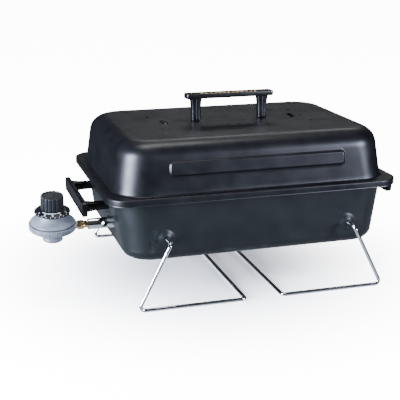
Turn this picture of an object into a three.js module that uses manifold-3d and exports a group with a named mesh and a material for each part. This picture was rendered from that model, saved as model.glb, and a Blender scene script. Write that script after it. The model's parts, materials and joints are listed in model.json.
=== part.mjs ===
// Portable tabletop gas grill: a pressed firebox and lift-off lid on two folding wire legs,
// with a small cylinder-mounted regulator feeding a loop burner.
// Millimetres, +Z up. X runs along the long side, and the regulator is at the -X end.

import * as THREE from 'three';
import { ParametricGeometry } from 'three/addons/geometries/ParametricGeometry.js';
import { mergeVertices } from 'three/addons/utils/BufferGeometryUtils.js';
import Module from 'manifold-3d';

// ---------- driving dimensions ----------
const SHEET = 1.2;                 // pressed steel
const GAP = 0.3;                   // clearance between neighbouring pieces

// plan sizes as half length, half width and corner radius
const RIM = { a: 222.5, b: 155.8, r: 33 };
const WALL_TOP = { a: 208.5, b: 144.5, r: 45 };
const WALL_BOTTOM = { a: 194.5, b: 139.5, r: 38 };
const DOME_TOP = { a: 200, b: 137, r: 47 };

const FLOOR_Z = 61;                // underside of the firebox
const FLOOR_FILLET = 18;
const FLANGE_Z = 150;              // underside of the firebox's flange
const LID_LEDGE_Z = 160.3;         // top of the lid's ledge
const LID_TOP_Z = 234.5;
const LID_FILLET = 27;
const BEAD_HEIGHT = 3.3;           // locating bead inside the lid's skirt

const LEG_WIRE_R = 2.75;
const PIVOT = { x: 140.5, z: 97 };
const LEG_PLANE_Y = 171;           // the arms swing outside the rim
const FOOT_OUTER_X = 188.6;
const FOOT_INNER_X = 28.5;
const LEG_BEND_R = 6;
const BOSS = { baseR: 13, tipR: 5, height: 4 };

const LID_HANDLE = { half: 71, legX: 54, reach: 35 };
const SIDE_HANDLE = { half: 81, legX: 59, reach: 34, z: 128.7 };
const GRIP = { halfWidth: 10.5, thick: 7.5, chamfer: 6 };
const SCREW_R = 2;
const SCREW_HEAD = { r: 4, height: 2.4, slot: 1 };

const REG = { x: -291, y: -74 };   // where the regulator's axis crosses the outlet's axis
const REG_TILT = 9;                // degrees that its top leans to the front
const OUTLET_Z = 106.5;            // axis of the outlet, venturi and burner
const VENTURI = { r: 8, wall: 1, x0: -240, x1: -160, holeX: -217, holeR: 4.5 };
const BURNER = { r: 9.5, wall: 1.1, x0: -176, x1: 150, closedEnd: -150, bend: 42 };

const PORT = { r: 1.7, x0: -120, pitch: 55, count: 5 };
const BRACKETS = [{ name: 'left', x: -120, y: 74 }, { name: 'right', x: 126, y: -74 }];
const CLIP = { x: -210, wireR: 0.9 };
const FLOOR_VENT = { r: 6, pitchX: 90, y: 45 };

const HEAT_PLATE = { halfX: 168, halfY: 96, z: 124 };
const HEAT_SLOT = { width: 10, length: 56, pitch: 42, perSide: 3, y: 48 };
const GRATE = { a: 200, b: 136, r: 38, z: 139.5, wireR: 2.2, rodR: 1.6, rods: 15, endGap: 14, crossY: 62 };
const TAB = { x: 110, width: 16, depth: 12 };

const VENT = { x: 119.5, pitch: 45, r: 3 };
const CATCH = { x: 104, run: 8, rise: 2.2, halfLength: 13, slot: 3.5 };
const PANEL = { halfX: 135, z0: 185.5, z1: 208.8, proud: 3, corner: 8 };

// the regulator's stack, from its socket up to the knob
const BASE = { z0: 87, neckR: 14.5, socketR: 12.7, socketTop: 99, rimR: 34, rimZ0: 106, top: 114.2 };
const DIAPHRAGM = { z: BASE.top + GAP, r: 30.4, thick: 0.8 };
const PUSHER_PLATE = { z: DIAPHRAGM.z + DIAPHRAGM.thick + GAP, r: 12, thick: 1.2, hubR: 5, hubTop: 2.9 };
const SPRING = { coilR: 8, wireR: 0.7, turns: 2.5, z0: PUSHER_PLATE.z + 2.2, z1: 123.1 };
const BONNET = { z0: DIAPHRAGM.z + DIAPHRAGM.thick + GAP, r: 31.8, topR: 18.5, topZ: 130.6 };
const SKIRT = { r: 25.9, edge: 0.8, z0: BONNET.topZ + 0.4, z1: 136.9 };
const KNOB = { r: 16.9, z0: SKIRT.z1 + GAP, z1: 157.3, flutes: 18, dishR: 12.6 };
const STEM = { r: 3.4, pusherR: 9, z0: 124.1, pusherTop: 125.9, z1: KNOB.z0 + 9.5 };

// ---------- materials ----------
const paint = (color, roughness, metalness) =>
  new THREE.MeshStandardMaterial({ color, roughness, metalness });
const lidBlack = paint(0x121214, 0.35, 0.4);
const fireboxGrey = paint(0x2b3236, 0.45, 0.4);
const chrome = paint(0xd4d6d8, 0.12, 1);
const zincPlate = paint(0xb9bcc0, 0.35, 1);
const blackPlastic = paint(0x17171a, 0.4, 0);
const knobPlastic = paint(0x2d2f33, 0.5, 0);
const castZinc = paint(0x9fa4aa, 0.55, 0.6);
const brass = paint(0xb58f52, 0.3, 1);
const rubber = paint(0x151515, 0.8, 0);
const burnerSteel = paint(0x8a8c8e, 0.4, 1);

// ---------- solids ----------
const wasm = await Module();
wasm.setup();

// A closed three.js geometry as a manifold solid.
function solid(geometry) {
  const bare = geometry.clone();
  bare.deleteAttribute('normal');
  bare.deleteAttribute('uv');
  const merged = mergeVertices(bare, 1e-4);
  const index = merged.index.array;
  const triangles = [];
  for (let i = 0; i < index.length; i += 3) {
    const [p, q, s] = [index[i], index[i + 1], index[i + 2]];
    if (p !== q && q !== s && s !== p) triangles.push(p, q, s);
  }
  const mesh = new wasm.Mesh({
    numProp: 3,
    vertProperties: new Float32Array(merged.attributes.position.array),
    triVerts: new Uint32Array(triangles),
  });
  return new wasm.Manifold(mesh);
}

function geometryOf(body) {
  const mesh = body.getMesh();
  const geometry = new THREE.BufferGeometry();
  geometry.setAttribute('position', new THREE.BufferAttribute(mesh.vertProperties, 3));
  geometry.setIndex(new THREE.BufferAttribute(mesh.triVerts, 1));
  return geometry;
}

const union = (bodies) => bodies.reduce((sum, body) => sum.add(body));
const cut = (body, tools) => tools.reduce((rest, tool) => rest.subtract(tool), body);

// ---------- shapes ----------
// Points round a rounded rectangle. One corner step gives a chamfered outline.
function ringPoints({ a, b, r }, cornerSteps) {
  const points = [];
  const centres = [[1, 1], [-1, 1], [-1, -1], [1, -1]];
  centres.forEach(([sx, sy], corner) => {
    for (let i = 0; i <= cornerSteps; i++) {
      const angle = (corner + i / cornerSteps) * Math.PI / 2;
      points.push([sx * (a - r) + r * Math.cos(angle), sy * (b - r) + r * Math.sin(angle)]);
    }
  });
  return points;
}

// A closed skin through a list of rings, which starts and ends at a centre point or meets itself.
function ringLoft(rings, cornerSteps = 5) {
  const outlines = rings.map((ring) => ringPoints(ring, cornerSteps));
  const around = outlines[0].length;
  const place = (u, v, target) => {
    const row = Math.round(v * (rings.length - 1));
    const [x, y] = outlines[row][Math.round(u * around) % around];
    target.set(x, y, rings[row].z);
  };
  return solid(new ParametricGeometry(place, around, rings.length - 1));
}

const centre = (z) => ({ a: 0, b: 0, r: 0, z });
const mix = (p, q, t) => ({ a: p.a + (q.a - p.a) * t, b: p.b + (q.b - p.b) * t, r: p.r + (q.r - p.r) * t });
const grown = (ring, d) => ({ a: ring.a + d, b: ring.b + d, r: Math.max(ring.r + d, 0.5) });

// A pressed sheet: its outer face follows the rings, with the outward side on their right.
// One end of the path is at the centre, and the other is the sheet's free edge.
function pressedSheet(rings, thickness) {
  const inner = rings.map((ring, i) => {
    const before = rings[Math.max(i - 1, 0)];
    const after = rings[Math.min(i + 1, rings.length - 1)];
    const incoming = new THREE.Vector2(ring.a - before.a, ring.z - before.z).normalize();
    const outgoing = new THREE.Vector2(after.a - ring.a, after.z - ring.z).normalize();
    const along = incoming.clone().add(outgoing).normalize();
    const face = i > 0 ? incoming : outgoing;
    const depth = thickness / Math.max(Math.abs(along.dot(face)), 0.5);
    const out = { x: along.y * depth, z: -along.x * depth };
    if (ring.a === 0) return centre(ring.z - Math.sign(out.z) * thickness);
    return { ...grown(ring, -out.x), z: ring.z - out.z };
  }).reverse();
  const startsAtEdge = rings[0].a !== 0;
  return ringLoft(startsAtEdge ? [...inner, ...rings] : [...rings, ...inner]);
}

// Rings round the fillet between an upright wall and a flat top or floor.
function filletRings(wall, edge, radius, up, steps) {
  const slope = Math.atan2(wall.a - edge.a, Math.abs(edge.z - wall.z));
  const inset = radius * Math.tan(Math.PI / 4 - slope / 2);
  const rings = [];
  for (let i = 0; i <= steps; i++) {
    const angle = (Math.PI / 2 - slope) * i / steps;
    const side = radius * Math.sin(angle) - inset;
    const z = edge.z - (up ? 1 : -1) * radius * (1 - Math.cos(angle));
    rings.push({ ...grown(edge, side), r: Math.max(edge.r + side * 0.7, 4), z });
  }
  return rings;
}

function box(x, y, z, px, py, pz) {
  const geometry = new THREE.BoxGeometry(x, y, z);
  geometry.translate(px, py, pz);
  return solid(geometry);
}

// A round bar between two heights, or along X or Y when an axis is named.
function bar(radius, from, to, { at = [0, 0], axis = 'z', sides = 16, endRadius = radius } = {}) {
  const geometry = new THREE.CylinderGeometry(endRadius, radius, to - from, sides);
  geometry.rotateX(Math.PI / 2);
  geometry.translate(0, 0, (from + to) / 2);
  if (axis === 'x') geometry.rotateY(Math.PI / 2);
  if (axis === 'y') geometry.rotateX(-Math.PI / 2);
  if (axis === 'z') geometry.translate(at[0], at[1], 0);
  if (axis === 'x') geometry.translate(0, at[0], at[1]);
  if (axis === 'y') geometry.translate(at[0], 0, at[1]);
  return solid(geometry);
}

// A turned solid on an upright axis. Its [radius, height] outline closes on itself or on the axis.
function turned(outline, segments = 28) {
  const points = outline.map(([radius, z]) => new THREE.Vector2(radius, z));
  const closed = outline[0][0] > 0 || outline[outline.length - 1][0] > 0;
  if (closed) points.push(points[0].clone());
  const geometry = new THREE.LatheGeometry(points, segments);
  geometry.rotateX(Math.PI / 2);
  return solid(geometry);
}

const ringOf = (rIn, rOut, z0, z1, segments) =>
  turned([[rIn, z0], [rOut, z0], [rOut, z1], [rIn, z1]], segments);

// A path with its sections only where it bends.
class KnotPath extends THREE.Curve {
  constructor(knots) {
    super();
    this.knots = knots;
  }

  getPoint(t, target = new THREE.Vector3()) {
    const place = t * (this.knots.length - 1);
    const i = Math.min(Math.floor(place + 1e-9), this.knots.length - 2);
    return target.lerpVectors(this.knots[i], this.knots[i + 1], place - i);
  }

  getPointAt(u, target) {
    return this.getPoint(u, target);
  }

  getTangentAt(u, target = new THREE.Vector3()) {
    const i = Math.round(u * (this.knots.length - 1));
    const before = this.knots[Math.max(i - 1, 0)];
    const here = this.knots[i];
    const after = this.knots[Math.min(i + 1, this.knots.length - 1)];
    const incoming = here.clone().sub(before).normalize();
    const outgoing = after.clone().sub(here).normalize();
    return target.copy(incoming).add(outgoing).normalize();
  }
}

// The knots of a path through corner points, with each inner corner rounded.
function roundedKnots(corners, radius, steps) {
  const knots = [corners[0].clone()];
  for (let i = 1; i < corners.length - 1; i++) {
    const here = corners[i];
    const back = corners[i - 1].clone().sub(here).normalize();
    const on = corners[i + 1].clone().sub(here).normalize();
    const half = back.angleTo(on) / 2;
    const tangentLength = radius / Math.tan(half);
    const middle = back.clone().add(on).normalize().multiplyScalar(radius / Math.sin(half)).add(here);
    const first = here.clone().addScaledVector(back, tangentLength).sub(middle);
    const last = here.clone().addScaledVector(on, tangentLength).sub(middle);
    const axis = first.clone().cross(last).normalize();
    for (let k = 0; k <= steps; k++) {
      const turn = first.angleTo(last) * k / steps;
      knots.push(first.clone().applyAxisAngle(axis, turn).add(middle));
    }
  }
  knots.push(corners[corners.length - 1].clone());
  return knots;
}

// A bar of many sides swept along knots. The flats lie at the given radius.
function swept(knots, radius, sides = 8, roll = 0) {
  const reach = radius / Math.cos(Math.PI / sides);
  const section = new THREE.Shape();
  for (let i = 0; i < sides; i++) {
    const angle = roll + (i + 0.5) * 2 * Math.PI / sides;
    const [x, y] = [reach * Math.cos(angle), reach * Math.sin(angle)];
    if (i === 0) section.moveTo(x, y);
    else section.lineTo(x, y);
  }
  section.closePath();
  const path = new KnotPath(knots);
  return solid(new THREE.ExtrudeGeometry(section, { steps: knots.length - 1, extrudePath: path }));
}

// ---------- assembly helpers ----------
const grill = new THREE.Group();

function add(name, body, material, parent = grill) {
  const mesh = new THREE.Mesh(geometryOf(body), material);
  mesh.name = name;
  parent.add(mesh);
  return mesh;
}

// ---------- the firebox's outline ----------
const wallAt = (z) => mix(WALL_BOTTOM, WALL_TOP, (z - FLOOR_Z) / (FLANGE_Z - FLOOR_Z));
const onRim = (s, z) => ({ ...mix(WALL_TOP, RIM, s), z });

// ---------- firebox ----------
function fireboxShell() {
  const wall = { ...WALL_TOP, z: FLANGE_Z };
  const edge = { ...WALL_BOTTOM, z: FLOOR_Z };
  const [low, high] = [FLANGE_Z, FLANGE_Z + BEAD_HEIGHT];
  const sheet = pressedSheet([
    centre(FLOOR_Z),
    ...filletRings(wall, edge, FLOOR_FILLET, false, 3),
    { ...wallAt(FLANGE_Z - 3), z: FLANGE_Z - 3 },
    onRim(0.09, low - 0.8),
    onRim(0.25, low),
    onRim(0.38, low),
    onRim(0.47, high),
    onRim(0.7, high),
    onRim(0.79, low),
    onRim(0.99, low),
  ], SHEET);

  const bosses = [];
  const holes = [];
  const y = wallAt(PIVOT.z).b;
  for (const sx of [-1, 1]) {
    for (const sy of [-1, 1]) {
      const outer = new THREE.CylinderGeometry(BOSS.tipR, BOSS.baseR, BOSS.height + 1, 14);
      outer.translate(0, (BOSS.height - 1) / 2, 0);
      const inner = new THREE.CylinderGeometry(BOSS.tipR - 2.2, BOSS.baseR - 0.5, BOSS.height + 1, 14);
      inner.translate(0, (BOSS.height - 1) / 2 - SHEET - 0.4, 0);
      for (const cone of [outer, inner]) {
        if (sy < 0) cone.rotateX(Math.PI);
        cone.translate(sx * PIVOT.x, sy * y, PIVOT.z);
      }
      bosses.push(solid(outer));
      holes.push(solid(inner));
      const [from, to] = [sy * y - 12, sy * y + 12];
      holes.push(bar(LEG_WIRE_R + 0.55, from, to, { at: [sx * PIVOT.x, PIVOT.z], axis: 'y' }));
    }
  }
  for (const sx of [-1, 1]) {
    const x = sx * wallAt(SIDE_HANDLE.z).a;
    for (const sy of [-1, 1]) {
      const at = [sy * SIDE_HANDLE.legX, SIDE_HANDLE.z];
      holes.push(bar(SCREW_R + GAP, x - 6, x + 6, { at, axis: 'x', sides: 12 }));
    }
  }
  const endWall = -wallAt(OUTLET_Z).a;
  const burnerAxis = [REG.y, OUTLET_Z];
  holes.push(bar(VENTURI.r + 0.5, endWall - 10, endWall + 10, { at: burnerAxis, axis: 'x', sides: 20 }));
  const throughFloor = (radius, x, fy) => bar(radius, FLOOR_Z - 3, FLOOR_Z + 3, { at: [x, fy], sides: 12 });
  for (const column of [-1, 0, 1]) {
    for (const row of [-1, 1]) {
      holes.push(throughFloor(FLOOR_VENT.r, column * FLOOR_VENT.pitchX, row * FLOOR_VENT.y));
    }
  }
  for (const bracket of BRACKETS) holes.push(throughFloor(SCREW_R + GAP, bracket.x, bracket.y));
  return cut(union([sheet, ...bosses]), holes);
}

// ---------- lid ----------
// A pressed panel stands out from the sloping front and back of the lid.
function lidPanel(side) {
  const height = PANEL.z1 - PANEL.z0;
  const wallHeight = LID_TOP_Z - LID_LEDGE_Z;
  const lean = Math.atan2(WALL_TOP.b - DOME_TOP.b, wallHeight);
  const zMid = (PANEL.z0 + PANEL.z1) / 2;
  const y = WALL_TOP.b - (WALL_TOP.b - DOME_TOP.b) * (zMid - LID_LEDGE_Z) / wallHeight;
  const [a, b] = [PANEL.halfX, height / 2];
  const [root, r] = [-0.6, PANEL.corner];
  const panel = ringLoft([
    centre(root),
    { a, b, r, z: root },
    { a, b, r, z: 0.4 },
    { a: a - PANEL.proud, b: b - PANEL.proud, r: r - 2, z: PANEL.proud },
    centre(PANEL.proud),
  ], 3);
  return panel
    .rotate([90 - THREE.MathUtils.radToDeg(lean), 0, 0])
    .translate([0, -y, zMid])
    .rotate([0, 0, side > 0 ? 180 : 0]);
}

// A lanced catch: a ramp that rises towards the middle of the lid and is open on that side.
function catchShape(grow) {
  const { x, run, rise, slot } = CATCH;
  const z = LID_TOP_Z - SHEET;
  const ramp = new THREE.Shape();
  if (grow > 0) {
    ramp.moveTo(x, z + 0.4);
    ramp.lineTo(x + run, z + 0.4);
    ramp.lineTo(x + run, LID_TOP_Z);
    ramp.lineTo(x, LID_TOP_Z + rise);
  } else {
    ramp.moveTo(x - slot, z - 2);
    ramp.lineTo(x + run - 2.6, z - 2);
    ramp.lineTo(x + run - 2.6, LID_TOP_Z - 0.4);
    ramp.lineTo(x - slot, LID_TOP_Z + rise - 0.7);
  }
  ramp.closePath();
  const length = 2 * (CATCH.halfLength + (grow > 0 ? 1.2 : 0));
  const geometry = new THREE.ExtrudeGeometry(ramp, { depth: length, bevelEnabled: false });
  geometry.translate(0, 0, -length / 2);
  geometry.rotateX(Math.PI / 2);
  return solid(geometry);
}

function lidShell() {
  const wall = { ...WALL_TOP, z: LID_LEDGE_Z };
  const edge = { ...DOME_TOP, z: LID_TOP_Z };
  const skirtZ = FLANGE_Z + SHEET + GAP;
  const sheet = pressedSheet([
    onRim(1, skirtZ),
    onRim(1, LID_LEDGE_Z - 1.4),
    onRim(0.9, LID_LEDGE_Z),
    onRim(0.2, LID_LEDGE_Z),
    { ...mix(WALL_TOP, DOME_TOP, 0.03), z: LID_LEDGE_Z + 2.4 },
    ...filletRings(wall, edge, LID_FILLET, true, 5).reverse(),
    centre(LID_TOP_Z),
  ], SHEET);
  const raised = [lidPanel(-1), lidPanel(1)];
  const tools = [];
  for (const turn of [0, 180]) {
    raised.push(catchShape(1).rotate([0, 0, turn]));
    tools.push(catchShape(-1).rotate([0, 0, turn]));
  }
  for (const sx of [-1, 1]) {
    for (const row of [-1, 0, 1]) {
      const at = [sx * VENT.x, row * VENT.pitch];
      tools.push(bar(VENT.r, LID_TOP_Z - 4, LID_TOP_Z + 2, { at, sides: 12 }));
    }
    const screwAt = [sx * LID_HANDLE.legX, 0];
    tools.push(bar(SCREW_R + GAP, LID_TOP_Z - 4, LID_TOP_Z + 2, { at: screwAt, sides: 12 }));
  }
  return cut(union([sheet, ...raised]), tools);
}

// ---------- handles ----------
// A grip plate with a raised border on two tapered legs that stand on z = 0.
function handle({ half, legX, reach }) {
  const { halfWidth, thick, chamfer } = GRIP;
  const top = reach + thick;
  const step = (inset, z) => ({ a: half - inset, b: halfWidth - inset, r: chamfer - inset * 0.4, z });
  const plate = ringLoft([
    centre(reach), step(1, reach), step(0, reach + 1), step(0, top - 1), step(0.8, top),
    step(2.4, top), step(3, top - 0.8), centre(top - 0.8),
  ], 1);
  const bodies = [plate];
  const bores = [];
  for (const sx of [-1, 1]) {
    const leg = ringLoft([
      centre(0), { a: 7, b: 5.8, r: 2, z: 0 }, { a: 7.3, b: 6.1, r: 2.5, z: reach * 0.4 },
      { a: 8.8, b: 7.8, r: 3, z: reach + 1 }, centre(reach + 1),
    ], 2);
    bodies.push(leg.translate([sx * legX, 0, 0]));
    bores.push(bar(SCREW_R + GAP, -1, 14, { at: [sx * legX, 0], sides: 12 }));
  }
  return cut(union(bodies), bores);
}

// A pan-head screw that points up, with the underside of its head on z = 0.
function screw(length) {
  const { r, height, slot } = SCREW_HEAD;
  const body = turned([
    [0, -height], [r * 0.65, -height], [r, -height / 2], [r, 0], [SCREW_R, 0], [SCREW_R, length - 1],
    [SCREW_R * 0.6, length], [0, length],
  ], 8);
  return body.subtract(box(slot, 2 * r + 1, height / 2, 0, 0, 0.2 - height));
}

// ---------- legs ----------
// One wire: a pin through the front wall, an arm, a foot frame flat on the floor, and back again.
function legWire(side) {
  const inside = wallAt(PIVOT.z).b - 9;
  const x = (value) => side * value;
  const z = LEG_WIRE_R;
  const half = [
    [x(PIVOT.x), inside, PIVOT.z],
    [x(PIVOT.x), LEG_PLANE_Y, PIVOT.z],
    [x(FOOT_OUTER_X), LEG_PLANE_Y, z],
    [x(FOOT_INNER_X), LEG_PLANE_Y, z],
  ];
  const route = [...half.map(([px, py, pz]) => [px, -py, pz]), ...half.reverse()];
  const corners = route.map((p) => new THREE.Vector3(...p));
  const armAngle = Math.atan2(PIVOT.z - z, FOOT_OUTER_X - PIVOT.x);
  return swept(roundedKnots(corners, LEG_BEND_R, 4), LEG_WIRE_R, 8, -side * armAngle);
}

const pushNut = () => turned([[3.3, 0], [7, 0], [7, 0.8], [4.6, 2.6], [3.3, 2.6]], 16);

// ---------- burner ----------
function venturiTube() {
  const { r, wall, x0, x1, holeX, holeR } = VENTURI;
  const at = [REG.y, OUTLET_Z];
  const outer = bar(r, x0, x1, { at, axis: 'x', sides: 24 });
  const bore = bar(r - wall, x0 - 1, x1 + 1, { at, axis: 'x', sides: 24 });
  const air = bar(holeR, REG.y - 20, REG.y + 20, { at: [holeX, OUTLET_Z], axis: 'y', sides: 16 });
  return cut(outer, [bore, air]);
}

function burnerLoop() {
  const { r, wall, x0, x1, closedEnd, bend } = BURNER;
  const point = (x, y) => new THREE.Vector3(x, y, OUTLET_Z);
  const route = (start, end) =>
    roundedKnots([point(start, REG.y), point(x1, REG.y), point(x1, -REG.y), point(end, -REG.y)], bend, 5);
  const outer = swept(route(x0, closedEnd), r, 12);
  const bore = swept(route(x0 - 1, closedEnd + wall), r - wall, 12);
  const ports = [];
  for (let i = 0; i < PORT.count; i++) {
    for (const y of [REG.y, -REG.y]) {
      const at = [PORT.x0 + i * PORT.pitch, y];
      ports.push(bar(PORT.r, OUTLET_Z + 4, OUTLET_Z + 14, { at, sides: 6 }));
    }
  }
  return cut(outer, [bore, ...ports]);
}

// Each bracket is a folded strap that stands on the firebox floor under the burner.
function burnerBracket() {
  const [low, high] = [FLOOR_Z + SHEET + GAP, OUTLET_Z - BURNER.r - GAP];
  const [thick, width, footLength, saddleLength] = [1.5, 14, 26, 20];
  const bend = footLength / 2;
  const foot = box(footLength, width, thick, 0, 0, low + thick / 2);
  const riser = box(thick, width, high - low, bend - thick / 2, 0, (low + high) / 2);
  const saddle = box(saddleLength, width, thick, bend + saddleLength / 2 - thick, 0, high - thick / 2);
  const hole = bar(SCREW_R + GAP, low - 2, low + 4, { sides: 12 });
  return union([foot, riser, saddle]).subtract(hole);
}

// A spring-wire clip round the venturi, with one end turned up as a finger hold.
function venturiClip() {
  const turn = (degrees, radius) => {
    const angle = THREE.MathUtils.degToRad(degrees);
    return new THREE.Vector3(CLIP.x, REG.y + radius * Math.cos(angle), OUTLET_Z + radius * Math.sin(angle));
  };
  const [around, tip] = [VENTURI.r + CLIP.wireR + 0.4, VENTURI.r + 6.5];
  const knots = [];
  for (let degrees = -126; degrees <= 90; degrees += 24) knots.push(turn(degrees, around));
  knots.push(turn(94, tip));
  return swept(knots, CLIP.wireR, 6);
}

// ---------- heat plate and cooking grate ----------
function heatPlate() {
  const { halfX, halfY, z } = HEAT_PLATE;
  const foot = FLOOR_Z + SHEET + GAP;
  const outline = new THREE.Shape();
  const bend = halfX - 14;
  const outer = [[-halfX, foot], [-halfX, z - 4], [-bend, z], [bend, z], [halfX, z - 4], [halfX, foot]];
  outline.moveTo(...outer[0]);
  outer.slice(1).forEach(([x, up]) => outline.lineTo(x, up));
  const inner = outer.map(([x, up]) => [x - Math.sign(x) * SHEET, up === foot ? foot : up - SHEET]);
  inner.reverse().forEach(([x, up]) => outline.lineTo(x, up));
  outline.closePath();
  const geometry = new THREE.ExtrudeGeometry(outline, { depth: 2 * halfY, bevelEnabled: false });
  geometry.rotateX(Math.PI / 2);
  geometry.translate(0, halfY, 0);
  const burnerNotch = box(10, 26, 70, -halfX, REG.y, OUTLET_Z - 20);
  const tools = [burnerNotch];
  const { width, length, pitch, perSide, y } = HEAT_SLOT;
  for (let i = -perSide; i <= perSide; i++) {
    for (const side of [-1, 1]) tools.push(box(width, length, 10, i * pitch, side * y, z));
  }
  return cut(solid(geometry), tools);
}

function cookingGrate() {
  const { a, b, r, z, wireR, rodR, rods, endGap, crossY } = GRATE;
  const outline = (d) => ringPoints(grown(GRATE, d), 4);
  const frame = new THREE.Shape(outline(wireR).map(([x, y]) => new THREE.Vector2(x, y)));
  frame.holes.push(new THREE.Path(outline(-wireR).map(([x, y]) => new THREE.Vector2(x, y))));
  const bevel = wireR * 0.55;
  const geometry = new THREE.ExtrudeGeometry(frame, {
    depth: 2 * (wireR - bevel),
    bevelThickness: bevel,
    bevelSize: bevel,
    bevelOffset: -bevel,
    bevelSegments: 1,
  });
  geometry.translate(0, 0, z - wireR + bevel);
  const bodies = [solid(geometry)];
  const pitch = 2 * (a - endGap) / (rods - 1);
  for (let i = 0; i < rods; i++) {
    const x = endGap - a + i * pitch;
    const over = Math.max(Math.abs(x) - (a - r), 0);
    const reach = b - r + Math.sqrt(r * r - over * over);
    bodies.push(bar(rodR, -reach, reach, { at: [x, z + wireR], axis: 'y', sides: 6 }));
  }
  for (const y of [-crossY, crossY]) {
    bodies.push(bar(rodR, -a, a, { at: [y, z + 0.4], axis: 'x', sides: 6 }));
  }
  return union(bodies);
}

// Spot-welded tabs inside the long walls carry the grate.
function grateTab() {
  const z = GRATE.z - GRATE.wireR - GAP;
  const { width, depth } = TAB;
  const shelf = box(width, depth, SHEET, 0, depth / 2 - 0.8, z - SHEET / 2);
  const back = box(width, SHEET, depth, 0, -SHEET / 2, z - depth / 2);
  return union([shelf, back]);
}

// ---------- regulator ----------
function regulatorBase() {
  const body = turned([
    [BASE.socketR, BASE.z0], [BASE.neckR, BASE.z0], [BASE.neckR, 100.5], [29, 103.5], [BASE.rimR, BASE.rimZ0],
    [BASE.rimR, BASE.top], [28, BASE.top], [27, 107.2], [3, 106], [3, BASE.socketTop],
    [BASE.socketR, BASE.socketTop],
  ], 28);
  const boss = bar(5, 29, BASE.rimR + 1.2, { at: [0, OUTLET_Z], axis: 'x', sides: 12 });
  const passage = bar(4.4, 20, BASE.rimR + 4, { at: [0, OUTLET_Z], axis: 'x', sides: 12 });
  return cut(body.add(boss), [passage]);
}

function regulatorBonnet() {
  const { z0, r, topR, topZ } = BONNET;
  return turned([
    [r, z0], [r, z0 + 1.6], [r - 2.4, z0 + 3], [topR + 2.5, topZ - 4], [topR, topZ - 0.8], [topR - 1, topZ],
    [STEM.r + 0.6, topZ], [STEM.r + 0.6, topZ - 2], [topR - 3, topZ - 2.6], [r - 6, z0 + 1.2], [r - 6, z0],
  ], 28);
}

// The spring between the diaphragm plate and the stem's pusher.
function pressureSpring() {
  const { coilR, wireR, turns, z0, z1 } = SPRING;
  const steps = turns * 12;
  const knots = [];
  for (let i = 0; i <= steps; i++) {
    const angle = 2 * Math.PI * turns * i / steps;
    const z = z0 + (z1 - z0) * i / steps;
    knots.push(new THREE.Vector3(coilR * Math.cos(angle), coilR * Math.sin(angle), z));
  }
  return swept(knots, wireR, 6);
}

// The brass fitting and the jet lie along X from the regulator's axis.
const onOutlet = (radius, from, to, sides, endRadius = radius) =>
  bar(radius, from, to, { axis: 'x', sides, endRadius });

function outletFitting() {
  const shank = onOutlet(4.1, 28, 40, 12);
  const hex = onOutlet(6.9, BASE.rimR + 1.6, 45, 6);
  const nose = onOutlet(5.4, 44, 53, 16);
  const bore = onOutlet(2.6, 20, 60, 12);
  return cut(union([shank, hex, nose]), [bore]).translate([0, 0, OUTLET_Z]);
}

function orificeJet() {
  const shank = onOutlet(2.3, 46, 55, 12);
  const head = onOutlet(4.4, 53.3, 57.5, 6);
  const tip = onOutlet(3.2, 57, 61, 12, 1.8);
  const bore = onOutlet(0.8, 40, 70, 8);
  return cut(union([shank, head, tip]), [bore]).translate([0, 0, OUTLET_Z]);
}

// A fluted cap: its outline is a circle with shallow grooves.
function controlKnob() {
  const perFlute = 3;
  const corners = KNOB.flutes * perFlute;
  const [bevel, grooveDepth] = [1, 1.1];
  const outline = new THREE.Shape();
  for (let i = 0; i < corners; i++) {
    const angle = 2 * Math.PI * i / corners;
    const radius = KNOB.r - bevel - (i % perFlute === 0 ? grooveDepth : 0);
    const [x, y] = [radius * Math.cos(angle), radius * Math.sin(angle)];
    if (i === 0) outline.moveTo(x, y);
    else outline.lineTo(x, y);
  }
  outline.closePath();
  const geometry = new THREE.ExtrudeGeometry(outline, {
    depth: KNOB.z1 - KNOB.z0 - 2 * bevel, bevelThickness: bevel, bevelSize: bevel, bevelSegments: 1,
  });
  geometry.translate(0, 0, KNOB.z0 + bevel);
  const dish = bar(KNOB.dishR, KNOB.z1 - 0.9, KNOB.z1 + 2, { sides: 28 });
  const bore = bar(STEM.r + GAP, KNOB.z0 - 1, STEM.z1 + 0.5, { sides: 16 });
  return cut(solid(geometry), [dish, bore]);
}

const dialSkirt = () => turned([
  [SKIRT.r - SKIRT.edge, SKIRT.z0], [SKIRT.r, SKIRT.z0 + SKIRT.edge], [SKIRT.r, SKIRT.z0 + 2 * SKIRT.edge],
  [KNOB.r + 0.6, SKIRT.z1],
  [STEM.r + GAP, SKIRT.z1], [STEM.r + GAP, SKIRT.z0],
], 28);

const valveStem = () => turned([
  [0, STEM.z0], [STEM.pusherR, STEM.z0], [STEM.pusherR, STEM.pusherTop], [STEM.r, STEM.pusherTop],
  [STEM.r, STEM.z1], [0, STEM.z1],
], 20);

const diaphragm = () => turned([
  [0, DIAPHRAGM.z], [DIAPHRAGM.r, DIAPHRAGM.z], [DIAPHRAGM.r, DIAPHRAGM.z + DIAPHRAGM.thick],
  [0, DIAPHRAGM.z + DIAPHRAGM.thick],
], 24);

function diaphragmPlate() {
  const { z, r, thick, hubR, hubTop } = PUSHER_PLATE;
  return turned([[0, z], [r, z], [r, z + thick], [hubR, z + thick], [hubR, z + hubTop], [0, z + hubTop]], 20);
}

const valvePin = () => turned([
  [0, 96], [1.2, 96.6], [1.2, 100.4], [2.4, 101.6], [2.4, 103.4], [1.2, 104], [1.2, DIAPHRAGM.z - GAP],
  [0, DIAPHRAGM.z - GAP],
], 12);

// ---------- build: firebox side ----------
add('firebox_shell', fireboxShell(), fireboxGrey);

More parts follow.
